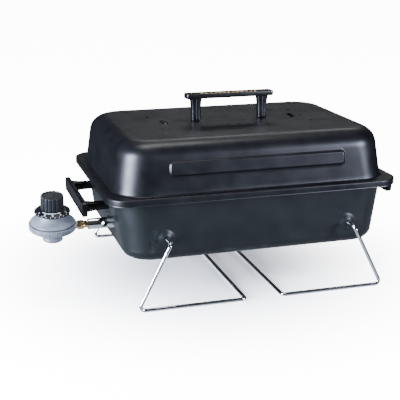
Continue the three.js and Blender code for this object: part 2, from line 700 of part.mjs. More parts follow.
for (const [name, side] of [['left', -1], ['right', 1]]) {
  const x = side * (wallAt(SIDE_HANDLE.z).a + 1.1);
  const turn = side * 90;
  const place = (body) => body.rotate([0, turn, 0]).translate([x, 0, SIDE_HANDLE.z]);
  const grip = handle(SIDE_HANDLE).rotate([0, 0, 90]);
  add(`side_handle_${name}`, place(grip), blackPlastic);
  for (const [end, sy] of [['front', -1], ['rear', 1]]) {
    const pin = screw(13).translate([0, sy * SIDE_HANDLE.legX, -SHEET - 2]);
    add(`side_handle_screw_${name}_${end}`, place(pin), zincPlate);
  }
}

add('venturi_tube', venturiTube(), chrome);
add('venturi_clip', venturiClip(), blackPlastic);
add('burner_loop', burnerLoop(), burnerSteel);
for (const { name, x, y } of BRACKETS) {
  add(`burner_bracket_${name}`, burnerBracket().translate([x, y, 0]), zincPlate);
  add(`burner_screw_${name}`, screw(9).translate([x, y, FLOOR_Z - GAP]), zincPlate);
}
add('heat_plate', heatPlate(), burnerSteel);
add('cooking_grate', cookingGrate(), chrome);
for (const [name, sy, turn] of [['front', -1, 0], ['rear', 1, 180]]) {
  for (const [end, sx] of [['left', -1], ['right', 1]]) {
    const y = wallAt(GRATE.z - 14).b - 2 * SHEET - 2 * GAP;
    const tab = grateTab().rotate([0, 0, turn]).translate([sx * TAB.x, sy * y, 0]);
    add(`grate_tab_${name}_${end}`, tab, zincPlate);
  }
}

// ---------- build: lid ----------
add('lid_shell', lidShell(), lidBlack);
add('lid_handle', handle(LID_HANDLE).translate([0, 0, LID_TOP_Z + GAP]), blackPlastic);
for (const [name, sx] of [['left', -1], ['right', 1]]) {
  const x = sx * LID_HANDLE.legX;
  const under = LID_TOP_Z - SHEET - GAP;
  const washer = ringOf(SCREW_R + GAP, 6, under - 1, under, 16);
  add(`lid_handle_washer_${name}`, washer.translate([x, 0, 0]), zincPlate);
  add(`lid_handle_screw_${name}`, screw(13).translate([x, 0, under - 1 - GAP]), zincPlate);
}

// ---------- build: legs ----------
for (const [name, side] of [['left', -1], ['right', 1]]) {
  add(`${name}_leg_wire`, legWire(side), chrome);
  for (const [end, sy] of [['front', -1], ['rear', 1]]) {
    const nut = pushNut().rotate([sy * 90, 0, 0]);
    const y = sy * (wallAt(PIVOT.z).b - SHEET - 2);
    add(`${name}_leg_push_nut_${end}`, nut.translate([side * PIVOT.x, y, PIVOT.z]), zincPlate);
  }
}

// ---------- build: regulator and knob ----------
const regulatorMount = new THREE.Group();
regulatorMount.position.set(REG.x, REG.y, OUTLET_Z);
regulatorMount.rotation.x = THREE.MathUtils.degToRad(REG_TILT);
grill.add(regulatorMount);
const regulator = new THREE.Group();
regulator.position.z = -OUTLET_Z;
regulatorMount.add(regulator);
add('regulator_base', regulatorBase(), castZinc, regulator);
add('regulator_bonnet', regulatorBonnet(), castZinc, regulator);
add('diaphragm', diaphragm(), rubber, regulator);
add('diaphragm_plate', diaphragmPlate(), zincPlate, regulator);
add('pressure_spring', pressureSpring(), burnerSteel, regulator);
add('valve_pin', valvePin(), brass, regulator);
add('inlet_seal', ringOf(4, 10, 96.3, 98.6, 20), rubber, regulator);
add('outlet_fitting', outletFitting(), brass, regulator);
add('orifice_jet', orificeJet(), brass, regulator);
add('valve_stem', valveStem(), brass, regulator);
add('dial_skirt', dialSkirt(), blackPlastic, regulator);
add('control_knob', controlKnob(), knobPlastic, regulator);

// The origin is the middle of the whole object's base.
grill.updateMatrixWorld(true);
const bounds = new THREE.Box3().setFromObject(grill, true);
const middle = bounds.getCenter(new THREE.Vector3());
grill.position.set(-middle.x, -middle.y, -bounds.min.z);

export default grill;
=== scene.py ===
"""Portable tabletop gas grill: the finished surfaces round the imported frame.

Grill coordinates are millimetres, with x = 0 at the middle of the firebox and z = 0 on the floor.
"""
import json
import math

import bmesh
import bpy
from mathutils import Matrix, Vector


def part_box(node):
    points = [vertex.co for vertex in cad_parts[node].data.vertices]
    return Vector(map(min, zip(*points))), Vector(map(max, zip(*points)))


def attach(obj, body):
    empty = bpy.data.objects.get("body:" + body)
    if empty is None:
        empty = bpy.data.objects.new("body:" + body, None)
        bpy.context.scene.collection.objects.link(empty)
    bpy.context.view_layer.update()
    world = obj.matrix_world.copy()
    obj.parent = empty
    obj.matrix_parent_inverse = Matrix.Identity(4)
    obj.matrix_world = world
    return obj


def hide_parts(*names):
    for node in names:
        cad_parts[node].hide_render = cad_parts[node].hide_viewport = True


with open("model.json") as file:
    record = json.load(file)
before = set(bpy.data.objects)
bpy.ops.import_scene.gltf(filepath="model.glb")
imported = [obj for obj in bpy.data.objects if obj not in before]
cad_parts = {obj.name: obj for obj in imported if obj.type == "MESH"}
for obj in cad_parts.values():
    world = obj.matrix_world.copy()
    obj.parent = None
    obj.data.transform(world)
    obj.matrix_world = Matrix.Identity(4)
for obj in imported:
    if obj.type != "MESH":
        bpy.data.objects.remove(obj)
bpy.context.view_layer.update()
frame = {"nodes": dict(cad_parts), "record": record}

MM = 0.001


# ---------- places, taken from the frame ----------
def node_box(name):
    """A CAD node's corners in millimetres, in the row frame."""
    low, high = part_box(name)
    return Vector(low) / MM, Vector(high) / MM


def middle(name):
    low, high = node_box(name)
    return (low + high) / 2


GRILL_X = middle("firebox_shell").x


def to_row(point):
    """A point in grill coordinates as a point in the row frame, in metres."""
    return Vector((point[0] + GRILL_X, point[1], point[2])) * MM


# ---------- driving sizes, in millimetres ----------
SIDES = (("left", -1), ("right", 1))
FACES = (("front", -1), ("rear", 1))
SHEET = 1.2
GAP = 0.3
RIM = (222.5, 155.8, 33.0)  # half length, half width and corner radius
WALL_TOP = (208.5, 144.5, 45.0)
WALL_BOTTOM = (194.5, 139.5, 38.0)
DOME_TOP = (200.0, 137.0, 47.0)
LID_STRAIGHT = (148.0, 86.0)  # half lengths of the straight sides
FIREBOX_STRAIGHT = (154.0, 95.0)
FLOOR_Z = 61.0
FLOOR_FILLET = 18.0
FLOOR_HOLE = {"r": 6.0, "x": 90.0, "y": 45.0}
FLANGE_Z = 150.0
FLANGE_ROUND = 2.2
BEAD_HEIGHT = 3.3
LEDGE_Z = 160.3
LEDGE_ROUND = 3.0
SKIRT_ROUND = 2.0
LID_TOP_Z = 234.5
LID_FILLET = 27.0
PANEL = {"half": 135.0, "z0": 185.5, "z1": 208.8, "proud": 3.0, "corner": 8.0, "ramp": 4.0}
VENT = {"x": 119.5, "pitch": 45.0, "r": 3.0}
CATCH = {"x": 104.0, "run": 8.0, "rise": 2.2, "half": 13.0, "slot": 3.5}
BOSS = {"height": 4.4, "r": 14.5, "slope": 11.0}
PIVOT_X = 140.5
PIVOT_Z = 97.0
LEG_PLANE_Y = 171.0
FOOT_OUTER_X = 188.6
FOOT_INNER_X = 28.5
LEG_WIRE_R = 2.75
LEG_BEND_R = 6.0
HANDLE = {"width": 10.5, "thick": 7.5, "corner": 5.0, "sunk": 0.85}
LID_HANDLE = {"half": 71.0, "leg_x": 54.0, "reach": 35.0}
SIDE_HANDLE = {"half": 81.0, "leg_x": 59.0, "reach": 34.0, "z": 128.7, "wall_gap": 1.1}
MARK_PITCH = 7.2
SCREW = {"r": 2.0, "head_r": 4.0, "head": 2.4, "length": 13.0, "short": 9.0, "pitch": 0.7, "thread": 0.12}
SCREW_INSET = 2.0  # from the wall's inner face to a screw head or push nut
BURNER = {"r": 9.5, "wall": 1.1, "x0": -176.0, "x1": 150.0, "closed": -150.0, "bend": 42.0}
PORTS = {"count": 11, "first_x": -125.0, "pitch": 24.0, "r": 1.7}
BRACKETS = {"left": (-120.0, 74.0), "right": (126.0, -74.0)}
BRACKET = {"foot": 13.0, "end": 31.5, "width": 14.0, "thick": 1.5}
HEAT_PLATE = {"half": 168.0, "top": 124.0, "width": 192.0, "slot_x": 42.0, "slot_y": 48.0}
GRATE = {"a": 200.0, "b": 136.0, "corner": 38.0, "z": 139.5, "frame_r": 2.2, "rod_r": 1.6, "rods": 15}
REG_X = -291.0
REG_Y = -74.0
REG_TILT = math.radians(9)
OUTLET_Z = 106.5
BASE = {"r": 34.0, "neck_r": 14.5, "bore_r": 12.7, "z0": 87.0, "groove_z": 92.2, "seat_z": 99.0, "top": 114.2}
RIBS = {"count": 60, "depth": 0.45, "from_r": 33.2, "z0": 106.6, "z1": 113.6}
BONNET = {"r": 31.8, "top_r": 18.5, "z0": 115.6, "top": 130.6}
DIAPHRAGM = {"r": 30.4, "z0": 114.5, "z1": 115.3}
SEAL = {"inner": 4.0, "outer": 10.0, "z0": 96.3, "z1": 98.6}
STEM_HOLE_R = 3.7
SKIRT = {"r": 25.9, "top_r": 17.5, "z0": 131.0, "edge_z": 132.6, "top": 136.9}
KNOB = {"r": 16.9, "z0": 137.2, "top": 157.3, "flutes": 18, "flute_depth": 1.2, "flute_from": 14.2}
DIAL = {"first": 196.0, "step": 15.0, "marks": 10, "numbers": 5, "number_r": 21.7, "number_size": 4.6}
BAND = {"start": 215.0, "end": 300.0, "inner": 18.4, "outer": 18.85}
TICK = {"inner": 24.2, "outer": 25.3, "half_width": 0.25}
INK = 0.1
VENTURI = {"r": 8.0, "x0": -240.0, "x1": -160.0, "hole_x": -217.0, "hole_r": 4.5}
CLIP = {"x": -210.0, "r": 9.3, "wire_r": 0.9}


# ---------- camera and light ----------
CAMERA_PLACE = (-453.0, -1333.5, 515.4)
CAMERA_ANGLES = (16.95, 16.37, 0.14)  # yaw, pitch and roll, in degrees
CAMERA_LENS = 82.27  # millimetres, on a 36 mm sensor
GROUND_GLOW = 0.9
HORIZON_GLOW = 0.03
ROOM_GLOW = 0.05
GROUND_BAND = (-0.22, -0.42)  # heights in the sky over which each glow comes in
ROOM_BAND = (0.1, 0.5)
SKY_COLOUR = (0.78, 0.85, 1.0, 1)
FLOOR_GLOW = 13.0
# the floor's glow at its middle: a painted shadow under the grill
FLOOR_PAINTED_SHADOW = 0.4
PAINTED_SHADOW_FADE = (0.08, 0.46)  # metres from the middle, over which the glow climbs from the painted shadow under the grill to the white floor
FLOOR_REACH = 60.0


def add_object(obj):
    bpy.context.scene.collection.objects.link(obj)


def add_camera():
    """A camera in front of the left end, looking a little down."""
    yaw, pitch, roll = (math.radians(angle) for angle in CAMERA_ANGLES)
    forward = Vector((math.sin(yaw) * math.cos(pitch), math.cos(yaw) * math.cos(pitch), -math.sin(pitch)))
    level = Vector((math.cos(yaw), -math.sin(yaw), 0))
    upright = level.cross(forward)
    right = level * math.cos(roll) + upright * math.sin(roll)
    up = right.cross(forward)
    data = bpy.data.cameras.new("camera")
    data.sensor_width = 36
    data.lens = CAMERA_LENS
    data.clip_end = 20
    camera = bpy.data.objects.new("camera", data)
    turn = Matrix((right, up, -forward)).transposed().to_4x4()
    camera.matrix_world = Matrix.Translation(to_row(CAMERA_PLACE)) @ turn
    add_object(camera)
    bpy.context.scene.camera = camera


def add_softbox(name, place, target, size, power, colour=(1, 1, 1)):
    data = bpy.data.lights.new(name, "AREA")
    data.shape = "RECTANGLE"
    data.size, data.size_y = size
    data.energy = power
    data.color = colour
    light = bpy.data.objects.new(name, data)
    light.location = place
    light.rotation_euler = (Vector(target) - Vector(place)).to_track_quat("-Z", "Y").to_euler()
    add_object(light)


def add_studio():
    """A dark room over a pale ground, with lights behind, above and at both sides."""
    world = bpy.data.worlds.new("studio")
    bpy.context.scene.world = world
    world.use_nodes = True
    nodes, links = world.node_tree.nodes, world.node_tree.links
    background = nodes["Background"]
    background.inputs["Color"].default_value = SKY_COLOUR
    split = nodes.new("ShaderNodeSeparateXYZ")
    links.new(nodes.new("ShaderNodeTexCoord").outputs["Generated"], split.inputs[0])
    total = nodes.new("ShaderNodeMath")
    height = split.outputs["Z"]
    links.new(map_range(nodes, links, height, *GROUND_BAND, HORIZON_GLOW, GROUND_GLOW), total.inputs[0])
    links.new(map_range(nodes, links, height, *ROOM_BAND, 0.0, ROOM_GLOW), total.inputs[1])
    links.new(total.outputs[0], background.inputs["Strength"])
    add_softbox("back_top", (0.9, 1.9, 1.7), (0, 0, 0.1), (1.6, 0.6), 9)
    add_softbox("overhead", (0.0, 0.1, 2.2), (0, 0.05, 0), (1.1, 0.7), 30)
    add_softbox("tall_left", (-2.0, -0.75, 0.6), (-0.2, -0.1, 0.2), (0.7, 1.2), 370, (0.72, 0.8, 1.0))
    add_softbox("low_right", (2.1, -2.3, 0.78), (0.2, -0.1, 0.2), (0.8, 0.8), 210, (0.72, 0.78, 1.0))
    add_floor()


def add_floor():
    """A glowing floor, white around the grill and falling to a pale grey under it: a painted shadow."""
    floor = bpy.data.meshes.new("floor")
    corners = [(x * FLOOR_REACH, y * FLOOR_REACH, 0) for x, y in ((-1, -1), (1, -1), (1, 1), (-1, 1))]
    floor.from_pydata(corners, [], [(0, 1, 2, 3)])
    ground = bpy.data.objects.new("floor", floor)
    add_object(ground)
    paint = bpy.data.materials.new("floor")
    paint.use_nodes = True
    nodes, links = paint.node_tree.nodes, paint.node_tree.links
    shader = nodes["Principled BSDF"]
    shader.inputs["Base Color"].default_value = (0.9, 0.9, 0.9, 1)
    shader.inputs["Roughness"].default_value = 0.6
    shader.inputs["Emission Color"].default_value = (1, 1, 1, 1)
    span = nodes.new("ShaderNodeVectorMath")
    span.operation = "LENGTH"
    links.new(nodes.new("ShaderNodeTexCoord").outputs["Object"], span.inputs[0])
    # the glow falls to a pale grey towards the middle, a painted shadow under the grill
    glow_with_painted_shadow = map_range(nodes, links, span.outputs["Value"], *PAINTED_SHADOW_FADE, FLOOR_PAINTED_SHADOW, FLOOR_GLOW)
    links.new(glow_with_painted_shadow, shader.inputs["Emission Strength"])
    floor.materials.append(paint)
    ground.visible_glossy = False
    ground.visible_diffuse = False


def map_range(nodes, links, value, start, end, low, high):
    ranged = nodes.new("ShaderNodeMapRange")
    ranged.interpolation_type = "SMOOTHSTEP"
    ranged.inputs["From Min"].default_value = start
    ranged.inputs["From Max"].default_value = end
    ranged.inputs["To Min"].default_value = low
    ranged.inputs["To Max"].default_value = high
    links.new(value, ranged.inputs["Value"])
    return ranged.outputs["Result"]


# ---------- materials ----------
COLOUR_SPREAD = (0.35, 0.65)  # noise values at the two ends of a colour or roughness
ROUGH_SPREAD = (0.3, 0.7)


class Surface:
    """Builds one procedural material on the Principled shader."""

    def __init__(self, name, roughness, metallic=0.0, specular=0.5):
        self.material = bpy.data.materials.new(name)
        self.material.use_nodes = True
        self.nodes = self.material.node_tree.nodes
        self.links = self.material.node_tree.links
        self.shader = self.nodes["Principled BSDF"]
        self.shader.inputs["Roughness"].default_value = roughness
        self.shader.inputs["Metallic"].default_value = metallic
        self.shader.inputs["Specular IOR Level"].default_value = specular
        self.where = self.nodes.new("ShaderNodeTexCoord").outputs["Object"]
        self.height = None

    def noise(self, scale, detail=3.0, stretch=None):
        """A noise value, drawn out along an axis where a stretch is given."""
        texture = self.nodes.new("ShaderNodeTexNoise")
        texture.inputs["Scale"].default_value = scale
        texture.inputs["Detail"].default_value = detail
        source = self.where
        if stretch:
            mapping = self.nodes.new("ShaderNodeMapping")
            mapping.inputs["Scale"].default_value = stretch
            self.links.new(source, mapping.inputs["Vector"])
            source = mapping.outputs["Vector"]
        self.links.new(source, texture.inputs["Vector"])
        return texture.outputs["Fac"]

    def colours(self, first, second, *grain):
        """Two colours, mixed by a noise of the given grain."""
        value = self.noise(*grain)
        ramp = self.nodes.new("ShaderNodeValToRGB")
        for element, place, colour in zip(ramp.color_ramp.elements, COLOUR_SPREAD, (first, second)):
            element.position = place
            element.color = (*colour, 1)
        self.links.new(value, ramp.inputs[0])
        self.links.new(ramp.outputs[0], self.shader.inputs["Base Color"])

    def rough(self, low, high, *grain):
        value = self.noise(*grain)
        ranged = self.nodes.new("ShaderNodeMapRange")
        limits = (*ROUGH_SPREAD, low, high)
        for socket, limit in zip(("From Min", "From Max", "To Min", "To Max"), limits):
            ranged.inputs[socket].default_value = limit
        self.links.new(value, ranged.inputs["Value"])
        self.links.new(ranged.outputs["Result"], self.shader.inputs["Roughness"])

    def bump(self, strength, distance, *grain):
        """Fine relief, on top of any relief that the surface already has."""
        value = self.noise(*grain)
        bump = self.nodes.new("ShaderNodeBump")
        bump.inputs["Strength"].default_value = strength
        bump.inputs["Distance"].default_value = distance
        self.links.new(value, bump.inputs["Height"])
        if self.height is not None:
            self.links.new(self.height, bump.inputs["Normal"])
        self.height = bump.outputs["Normal"]
        self.links.new(self.height, self.shader.inputs["Normal"])


def lid_paint():
    coat = Surface("lid_paint", 0.36, specular=0.3)
    coat.colours((0.0020, 0.0021, 0.0026), (0.0032, 0.0033, 0.0040), 60)
    coat.rough(0.3, 0.42, 35, 5)
    coat.bump(0.16, 0.0004, 900, 2)
    coat.bump(0.02, 0.002, 14, 2)
    return coat.material


def firebox_paint():
    coat = Surface("firebox_paint", 0.42, specular=0.3)
    coat.colours((0.0034, 0.0051, 0.0050), (0.0045, 0.0064, 0.0063), 40)
    coat.rough(0.36, 0.48, 30, 4)
    coat.bump(0.12, 0.0004, 800, 2)
    coat.bump(0.02, 0.002, 10, 2)
    return coat.material


def chrome():
    coat = Surface("chrome", 0.1, 1.0)
    coat.colours((0.72, 0.73, 0.75), (0.82, 0.83, 0.84), 90)
    coat.rough(0.06, 0.16, 160, 4)
    coat.bump(0.05, 0.0003, 400, 3)
    return coat.material


def zinc_plate():
    coat = Surface("zinc_plate", 0.3, 1.0)
    coat.colours((0.48, 0.49, 0.5), (0.64, 0.64, 0.65), 120)
    coat.rough(0.22, 0.4, 200, 4)
    coat.bump(0.1, 0.0003, 700, 3)
    return coat.material


def stainless():
    coat = Surface("stainless", 0.32, 1.0)
    coat.colours((0.38, 0.375, 0.365), (0.5, 0.495, 0.49), 25)
    coat.rough(0.24, 0.42, 500, 3, (0.05, 1, 1))
    coat.bump(0.12, 0.0003, 900, 2, (0.04, 1, 1))
    return coat.material


def cast_zinc():
    coat = Surface("cast_zinc", 0.5, 0.35)
    coat.colours((0.1, 0.113, 0.126), (0.17, 0.184, 0.198), 90, 6)
    coat.rough(0.4, 0.56, 150, 4)
    coat.bump(0.18, 0.0004, 1200, 3)
    return coat.material


def brass():
    coat = Surface("brass", 0.25, 1.0)
    coat.colours((0.66, 0.42, 0.17), (0.78, 0.56, 0.28), 160)
    coat.rough(0.16, 0.32, 300, 3)
    coat.bump(0.1, 0.0002, 900, 2, (0.1, 1, 1))
    return coat.material


def phenolic():
    coat = Surface("phenolic", 0.3, specular=0.3)
    coat.colours((0.0018, 0.0018, 0.002), (0.003, 0.003, 0.0033), 90)
    coat.rough(0.22, 0.38, 60, 4)
    coat.bump(0.08, 0.0003, 700, 2)
    return coat.material


def knob_plastic():
    coat = Surface("knob_plastic", 0.45, specular=0.25)
    coat.colours((0.006, 0.0065, 0.0075), (0.009, 0.0095, 0.0105), 150)
    coat.rough(0.38, 0.52, 200, 3)
    coat.bump(0.12, 0.0003, 1600, 2)
    return coat.material


def dial_plastic():
    coat = Surface("dial_plastic", 0.4, specular=0.25)
    coat.colours((0.0022, 0.0022, 0.0025), (0.0035, 0.0035, 0.004), 150)
    coat.rough(0.3, 0.45, 200, 3)
    coat.bump(0.1, 0.0002, 1500, 2)
    return coat.material


def rubber():
    coat = Surface("rubber", 0.7)
    coat.colours((0.012, 0.012, 0.012), (0.02, 0.02, 0.02), 200)
    coat.bump(0.2, 0.0003, 1500, 2)
    return coat.material


def black_steel():
    coat = Surface("black_steel", 0.4, 0.6)
    coat.colours((0.015, 0.015, 0.017), (0.03, 0.03, 0.032), 200)
    coat.bump(0.1, 0.0002, 900, 2)
    return coat.material


def gold_ink():
    coat = Surface("gold_ink", 0.35, 0.3)
    coat.colours((0.75, 0.5, 0.14), (0.88, 0.64, 0.24), 400)
    coat.bump(0.1, 0.0001, 1500, 2)
    return coat.material


def white_ink():
    coat = Surface("white_ink", 0.5)
    coat.colours((0.7, 0.71, 0.72), (0.82, 0.82, 0.83), 500)
    coat.bump(0.1, 0.0001, 1500, 2)
    return coat.material


# ---------- mesh tools ----------
SHARP_TURN = math.radians(35)
ALONG_X = Matrix.Rotation(math.pi / 2, 3, "Y")


def finish_piece(name, bm, paint, body, replaces=()):
    """Turns mesh data in grill millimetres into a shaded object that rides on a body."""
    for vert in bm.verts:
        vert.co = to_row(vert.co)
    bmesh.ops.remove_doubles(bm, verts=bm.verts, dist=1e-7)
    bmesh.ops.recalc_face_normals(bm, faces=bm.faces)
    data = bpy.data.meshes.new(name)
    bm.to_mesh(data)
    bm.free()
    obj = bpy.data.objects.new(name, data)
    add_object(obj)
    data.materials.append(PAINTS[paint])
    shade(obj)
    if replaces:
        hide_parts(*replaces)
    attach(obj, body)
    return obj


def finish_node(node, bm, body, slot):
    """A finished piece that takes a CAD node's place."""
    return finish_piece(f"{node}_finished", bm, slot, body, [node])


def shade(obj):
    """Smooth faces, with hard edges where the surface turns sharply."""
    bm = bmesh.new()
    bm.from_mesh(obj.data)
    for face in bm.faces:
        face.smooth = True
    for edge in bm.edges:
        edge.smooth = len(edge.link_faces) == 2 and edge.calc_face_angle(0) < SHARP_TURN
    bm.to_mesh(obj.data)
    bm.free()


def skin(outlines, closed_rows=False):
    """A mesh between outlines that have the same number of points, with caps unless the rows close."""
    bm = bmesh.new()
    rows = [[bm.verts.new(p) for p in outline] for outline in outlines]
    around = len(rows[0])
    pairs = list(zip(rows, rows[1:]))
    if closed_rows:
        pairs.append((rows[-1], rows[0]))
    for low, high in pairs:
        for i in range(around):
            j = (i + 1) % around
            bm.faces.new((low[i], low[j], high[j], high[i]))
    if not closed_rows:
        bm.faces.new(rows[0][::-1])
        bm.faces.new(rows[-1])
    return bm


def softened(points, radius, steps=3, closed=False):
    """A polyline with each corner rounded by a short curve."""
    count = len(points)
    result = []
    for i, point in enumerate(points):
        here = Vector(point)
        if not closed and i in (0, count - 1):
            result.append(here)
            continue
        before = Vector(points[i - 1])
        after = Vector(points[(i + 1) % count])
        reach = min(radius, (here - before).length * 0.45, (after - here).length * 0.45)
        start = here + (before - here).normalized() * reach
        end = here + (after - here).normalized() * reach
        for k in range(steps + 1):
            t = k / steps
            result.append(start * (1 - t) ** 2 + here * 2 * t * (1 - t) + end * t ** 2)
    return result


def lathe(outline, segments, soft, ripple=None):
    """A surface turned round the upright axis; the (radius, height) outline closes on itself."""
    outlines = []
    for radius, _, z in softened([(r, 0, z) for r, z in outline], soft, closed=True):
        ring = []
        for k in range(segments):
            angle = 2 * math.pi * k / segments
            r = max(radius, 0.001)
            if ripple:
                r = ripple(r, z, angle)
            ring.append((r * math.cos(angle), r * math.sin(angle), z))
        outlines.append(ring)
    return skin(outlines, closed_rows=True)


def tube(points, radius, sides, closed=False):
    """A round bar along points, without twist."""
    points = [Vector(p) for p in points]
    count = len(points)
    tangents = []
    for i in range(count):
        before = points[i - 1] if i or closed else points[0]
        after = points[(i + 1) % count] if i < count - 1 or closed else points[-1]
        tangents.append((after - before).normalized())
    normal = tangents[0].orthogonal().normalized()
    outlines = []
    for i, (point, tangent) in enumerate(zip(points, tangents)):
        if i:
            normal = tangents[i - 1].rotation_difference(tangent) @ normal
        side = tangent.cross(normal)
        outlines.append([point + (normal * math.cos(a) + side * math.sin(a)) * radius
                         for a in (2 * math.pi * k / sides for k in range(sides))])
    return skin(outlines, closed_rows=closed)


def rounded_route(corners, radius, steps):
    """A route through corners with an arc at each."""
    corners = [Vector(c) for c in corners]
    route = [corners[0]]
    for i in range(1, len(corners) - 1):
        here = corners[i]
        back = (corners[i - 1] - here).normalized()
        on = (corners[i + 1] - here).normalized()
        half = back.angle(on) / 2
        centre = here + (back + on).normalized() * radius / math.sin(half)
        first = here + back * radius / math.tan(half) - centre
        last = here + on * radius / math.tan(half) - centre
        axis = first.cross(last).normalized()
        for k in range(steps + 1):
            turn = Matrix.Rotation(first.angle(last) * k / steps, 3, axis)
            route.append(centre + turn @ first)
    route.append(corners[-1])
    return route


def rod(start, end, radius, sides=32):
    return tube([start, end], radius, sides)


def joined(meshes):
    """Several meshes as one."""
    whole = meshes[0]
    for extra in meshes[1:]:
        data = bpy.data.meshes.new("part")
        extra.to_mesh(data)
        extra.free()
        whole.from_mesh(data)
        bpy.data.meshes.remove(data)
    return whole


def moved(bm, place=(0, 0, 0), turn=None):
    """A mesh turned and then moved, in millimetres."""
    matrix = Matrix.Translation(place)
    if turn:
        matrix = matrix @ turn.to_4x4()
    bm.transform(matrix)
    return bm


def combine(obj, tool, operation="DIFFERENCE"):
    """Cuts a tool's volume out of an object, or adds it, for good."""
    data = bpy.data.meshes.new("tool")
    for vert in tool.verts:
        vert.co = to_row(vert.co)
    bmesh.ops.recalc_face_normals(tool, faces=tool.faces)
    tool.to_mesh(data)
    tool.free()
    cutter = bpy.data.objects.new("tool", data)
    add_object(cutter)
    modifier = obj.modifiers.new("combine", "BOOLEAN")
    modifier.operation = operation
    modifier.solver = "EXACT"
    modifier.use_self = operation == "DIFFERENCE"
    modifier.object = cutter
    depsgraph = bpy.context.evaluated_depsgraph_get()
    result = bpy.data.meshes.new_from_object(obj.evaluated_get(depsgraph))
    obj.modifiers.clear()
    obj.data = result
    bpy.data.objects.remove(cutter)
    shade(obj)


def block(low, high):
    """A plain box, for cutting."""
    xs, ys, zs = zip(low, high)
    rows = [[(xs[0], ys[0], z), (xs[1], ys[0], z), (xs[1], ys[1], z), (xs[0], ys[1], z)] for z in zs]
    return skin(rows)


def strap(route, width, thick, bend=1.5):
    """A folded strip: a route in X and Z, with its thickness inward and its width along Y."""
    line = softened([(x, 0, z) for x, z in route], bend, 4)
    outlines = []
    for i, point in enumerate(line):
        before = line[max(i - 1, 0)]
        after = line[min(i + 1, len(line) - 1)]
        along = (after - before).normalized()
        other = point + Vector((-along.z, 0, along.x)) * thick
        outlines.append([(point.x, -width / 2, point.z), (point.x, width / 2, point.z),
                         (other.x, width / 2, other.z), (other.x, -width / 2, other.z)])
    return skin(outlines)


def plate_rows(rows, steps=6):
    """A loft through (half length, half width, corner radius, height) outlines."""
    return skin([ring_outline((a, b, r), z, corner_steps=steps) for a, b, r, z in rows])


# ---------- pressed shells ----------
def quarter_turn(steps, first=0):
    """Points on a quarter circle of radius 1, as distances from the tangents at its ends."""
    angles = [math.pi / 2 * k / steps for k in range(first, steps + 1)]
    return [(1 - math.cos(angle), 1 - math.sin(angle)) for angle in angles]


def mix(p, q, t):
    return tuple(u + (v - u) * t for u, v in zip(p, q))


def smooth(value):
    value = min(max(value, 0.0), 1.0)
    return value * value * (3 - 2 * value)


def straight_stops(limit, centres, near, fine, coarse):
    """Positions along a straight side: close together near the centres, wider elsewhere."""
    steps = int(limit / coarse)
    stops = {round(i * coarse, 3) for i in range(-steps, steps + 1)}
    for centre in centres:
        stops = {stop for stop in stops if abs(stop - centre) > near}
        count = int(near / fine)
        stops.update(round(centre + i * fine, 3) for i in range(-count, count + 1))
    return sorted(stop for stop in stops if abs(stop) < limit)


def ring_outline(ring, z, x_stops=(), y_stops=(), corner_steps=14):
    """Points round a rounded rectangle with fixed stops along its straight sides."""
    a, b, r = ring
    corners = [(1, 1), (-1, 1), (-1, -1), (1, -1)]
    sides = [[(-x, b) for x in x_stops], [(-a, -y) for y in y_stops],
             [(x, -b) for x in x_stops], [(a, y) for y in y_stops]]
    points = []
    for quarter, ((sx, sy), side) in enumerate(zip(corners, sides)):
        for k in range(corner_steps + 1):
            angle = (quarter + k / corner_steps) * math.pi / 2
            points.append((sx * (a - r) + r * math.cos(angle), sy * (b - r) + r * math.sin(angle)))
        points.extend(side)
    return [(x, y, z) for x, y in points]


def shell_mesh(profile, x_stops, y_stops, push, thickness):
    """A closed sheet that follows a profile of its outer face, from its middle out to its free edge."""
    outlines = []
    for ring, z in profile + offset_profile(profile, thickness)[::-1]:
        outline = ring_outline(ring, z, x_stops, y_stops)
        outlines.append([displaced(Vector(point), push) for point in outline])
    return skin(outlines)


def offset_profile(profile, thickness):
    """Each (ring, z) of a profile moved by the thickness, up and inward where the profile climbs."""
    result = []
    for i, (ring, z) in enumerate(profile):
        before = profile[max(i - 1, 0)]
        after = profile[min(i + 1, len(profile) - 1)]
        along = Vector((after[0][0] - before[0][0], after[1] - before[1])).normalized()
        out = Vector((along.y, -along.x)) * thickness
        result.append((grown(ring, -out.x), z - out.y))
    return result


def grown(ring, d):
    """A ring moved outward by a distance."""
    return (ring[0] + d, ring[1] + d, max(ring[2] + d, 1.0))


def fillet_rows(wall, wall_z, edge, edge_z, radius, up, steps):
    """The rounded turn between an upright wall and a flat top or floor."""
    slope = math.atan2(wall[0] - edge[0], abs(edge_z - wall_z))
    inset = radius * math.tan(math.pi / 4 - slope / 2)
    rows = []
    for i in range(steps + 1):
        angle = (math.pi / 2 - slope) * i / steps
        side = radius * math.sin(angle) - inset
        z = edge_z - (1 if up else -1) * radius * (1 - math.cos(angle))
        ring = (edge[0] + side, edge[1] + side, max(edge[2] + side * 0.7, 4))
        rows.append((ring, z))
    return rows


def wall_rows(low, low_z, high, high_z, dense, fine, coarse):
    """Rows up a straight wall, closer together inside the dense height ranges."""
    rows = []
    z = low_z
    while z < high_z - coarse * 0.6:
        rows.append((mix(low, high, (z - low_z) / (high_z - low_z)), z))
        near = any(start <= z <= end for start, end in dense)
        z += fine if near else coarse
    return rows


def panel_push(point):
    """How far the raised panel on the lid's front and back stands out at a point."""
    if abs(point.y) < DOME_TOP[1] - 4:
        return 0.0
    half_height = (PANEL["z1"] - PANEL["z0"]) / 2
    corner = PANEL["corner"]
    dx = abs(point.x) - PANEL["half"] + corner
    dz = abs(point.z - (PANEL["z0"] + half_height)) - half_height + corner
    outside = Vector((max(dx, 0), max(dz, 0))).length + min(max(dx, dz), 0) - corner
    return PANEL["proud"] * smooth(-outside / PANEL["ramp"])


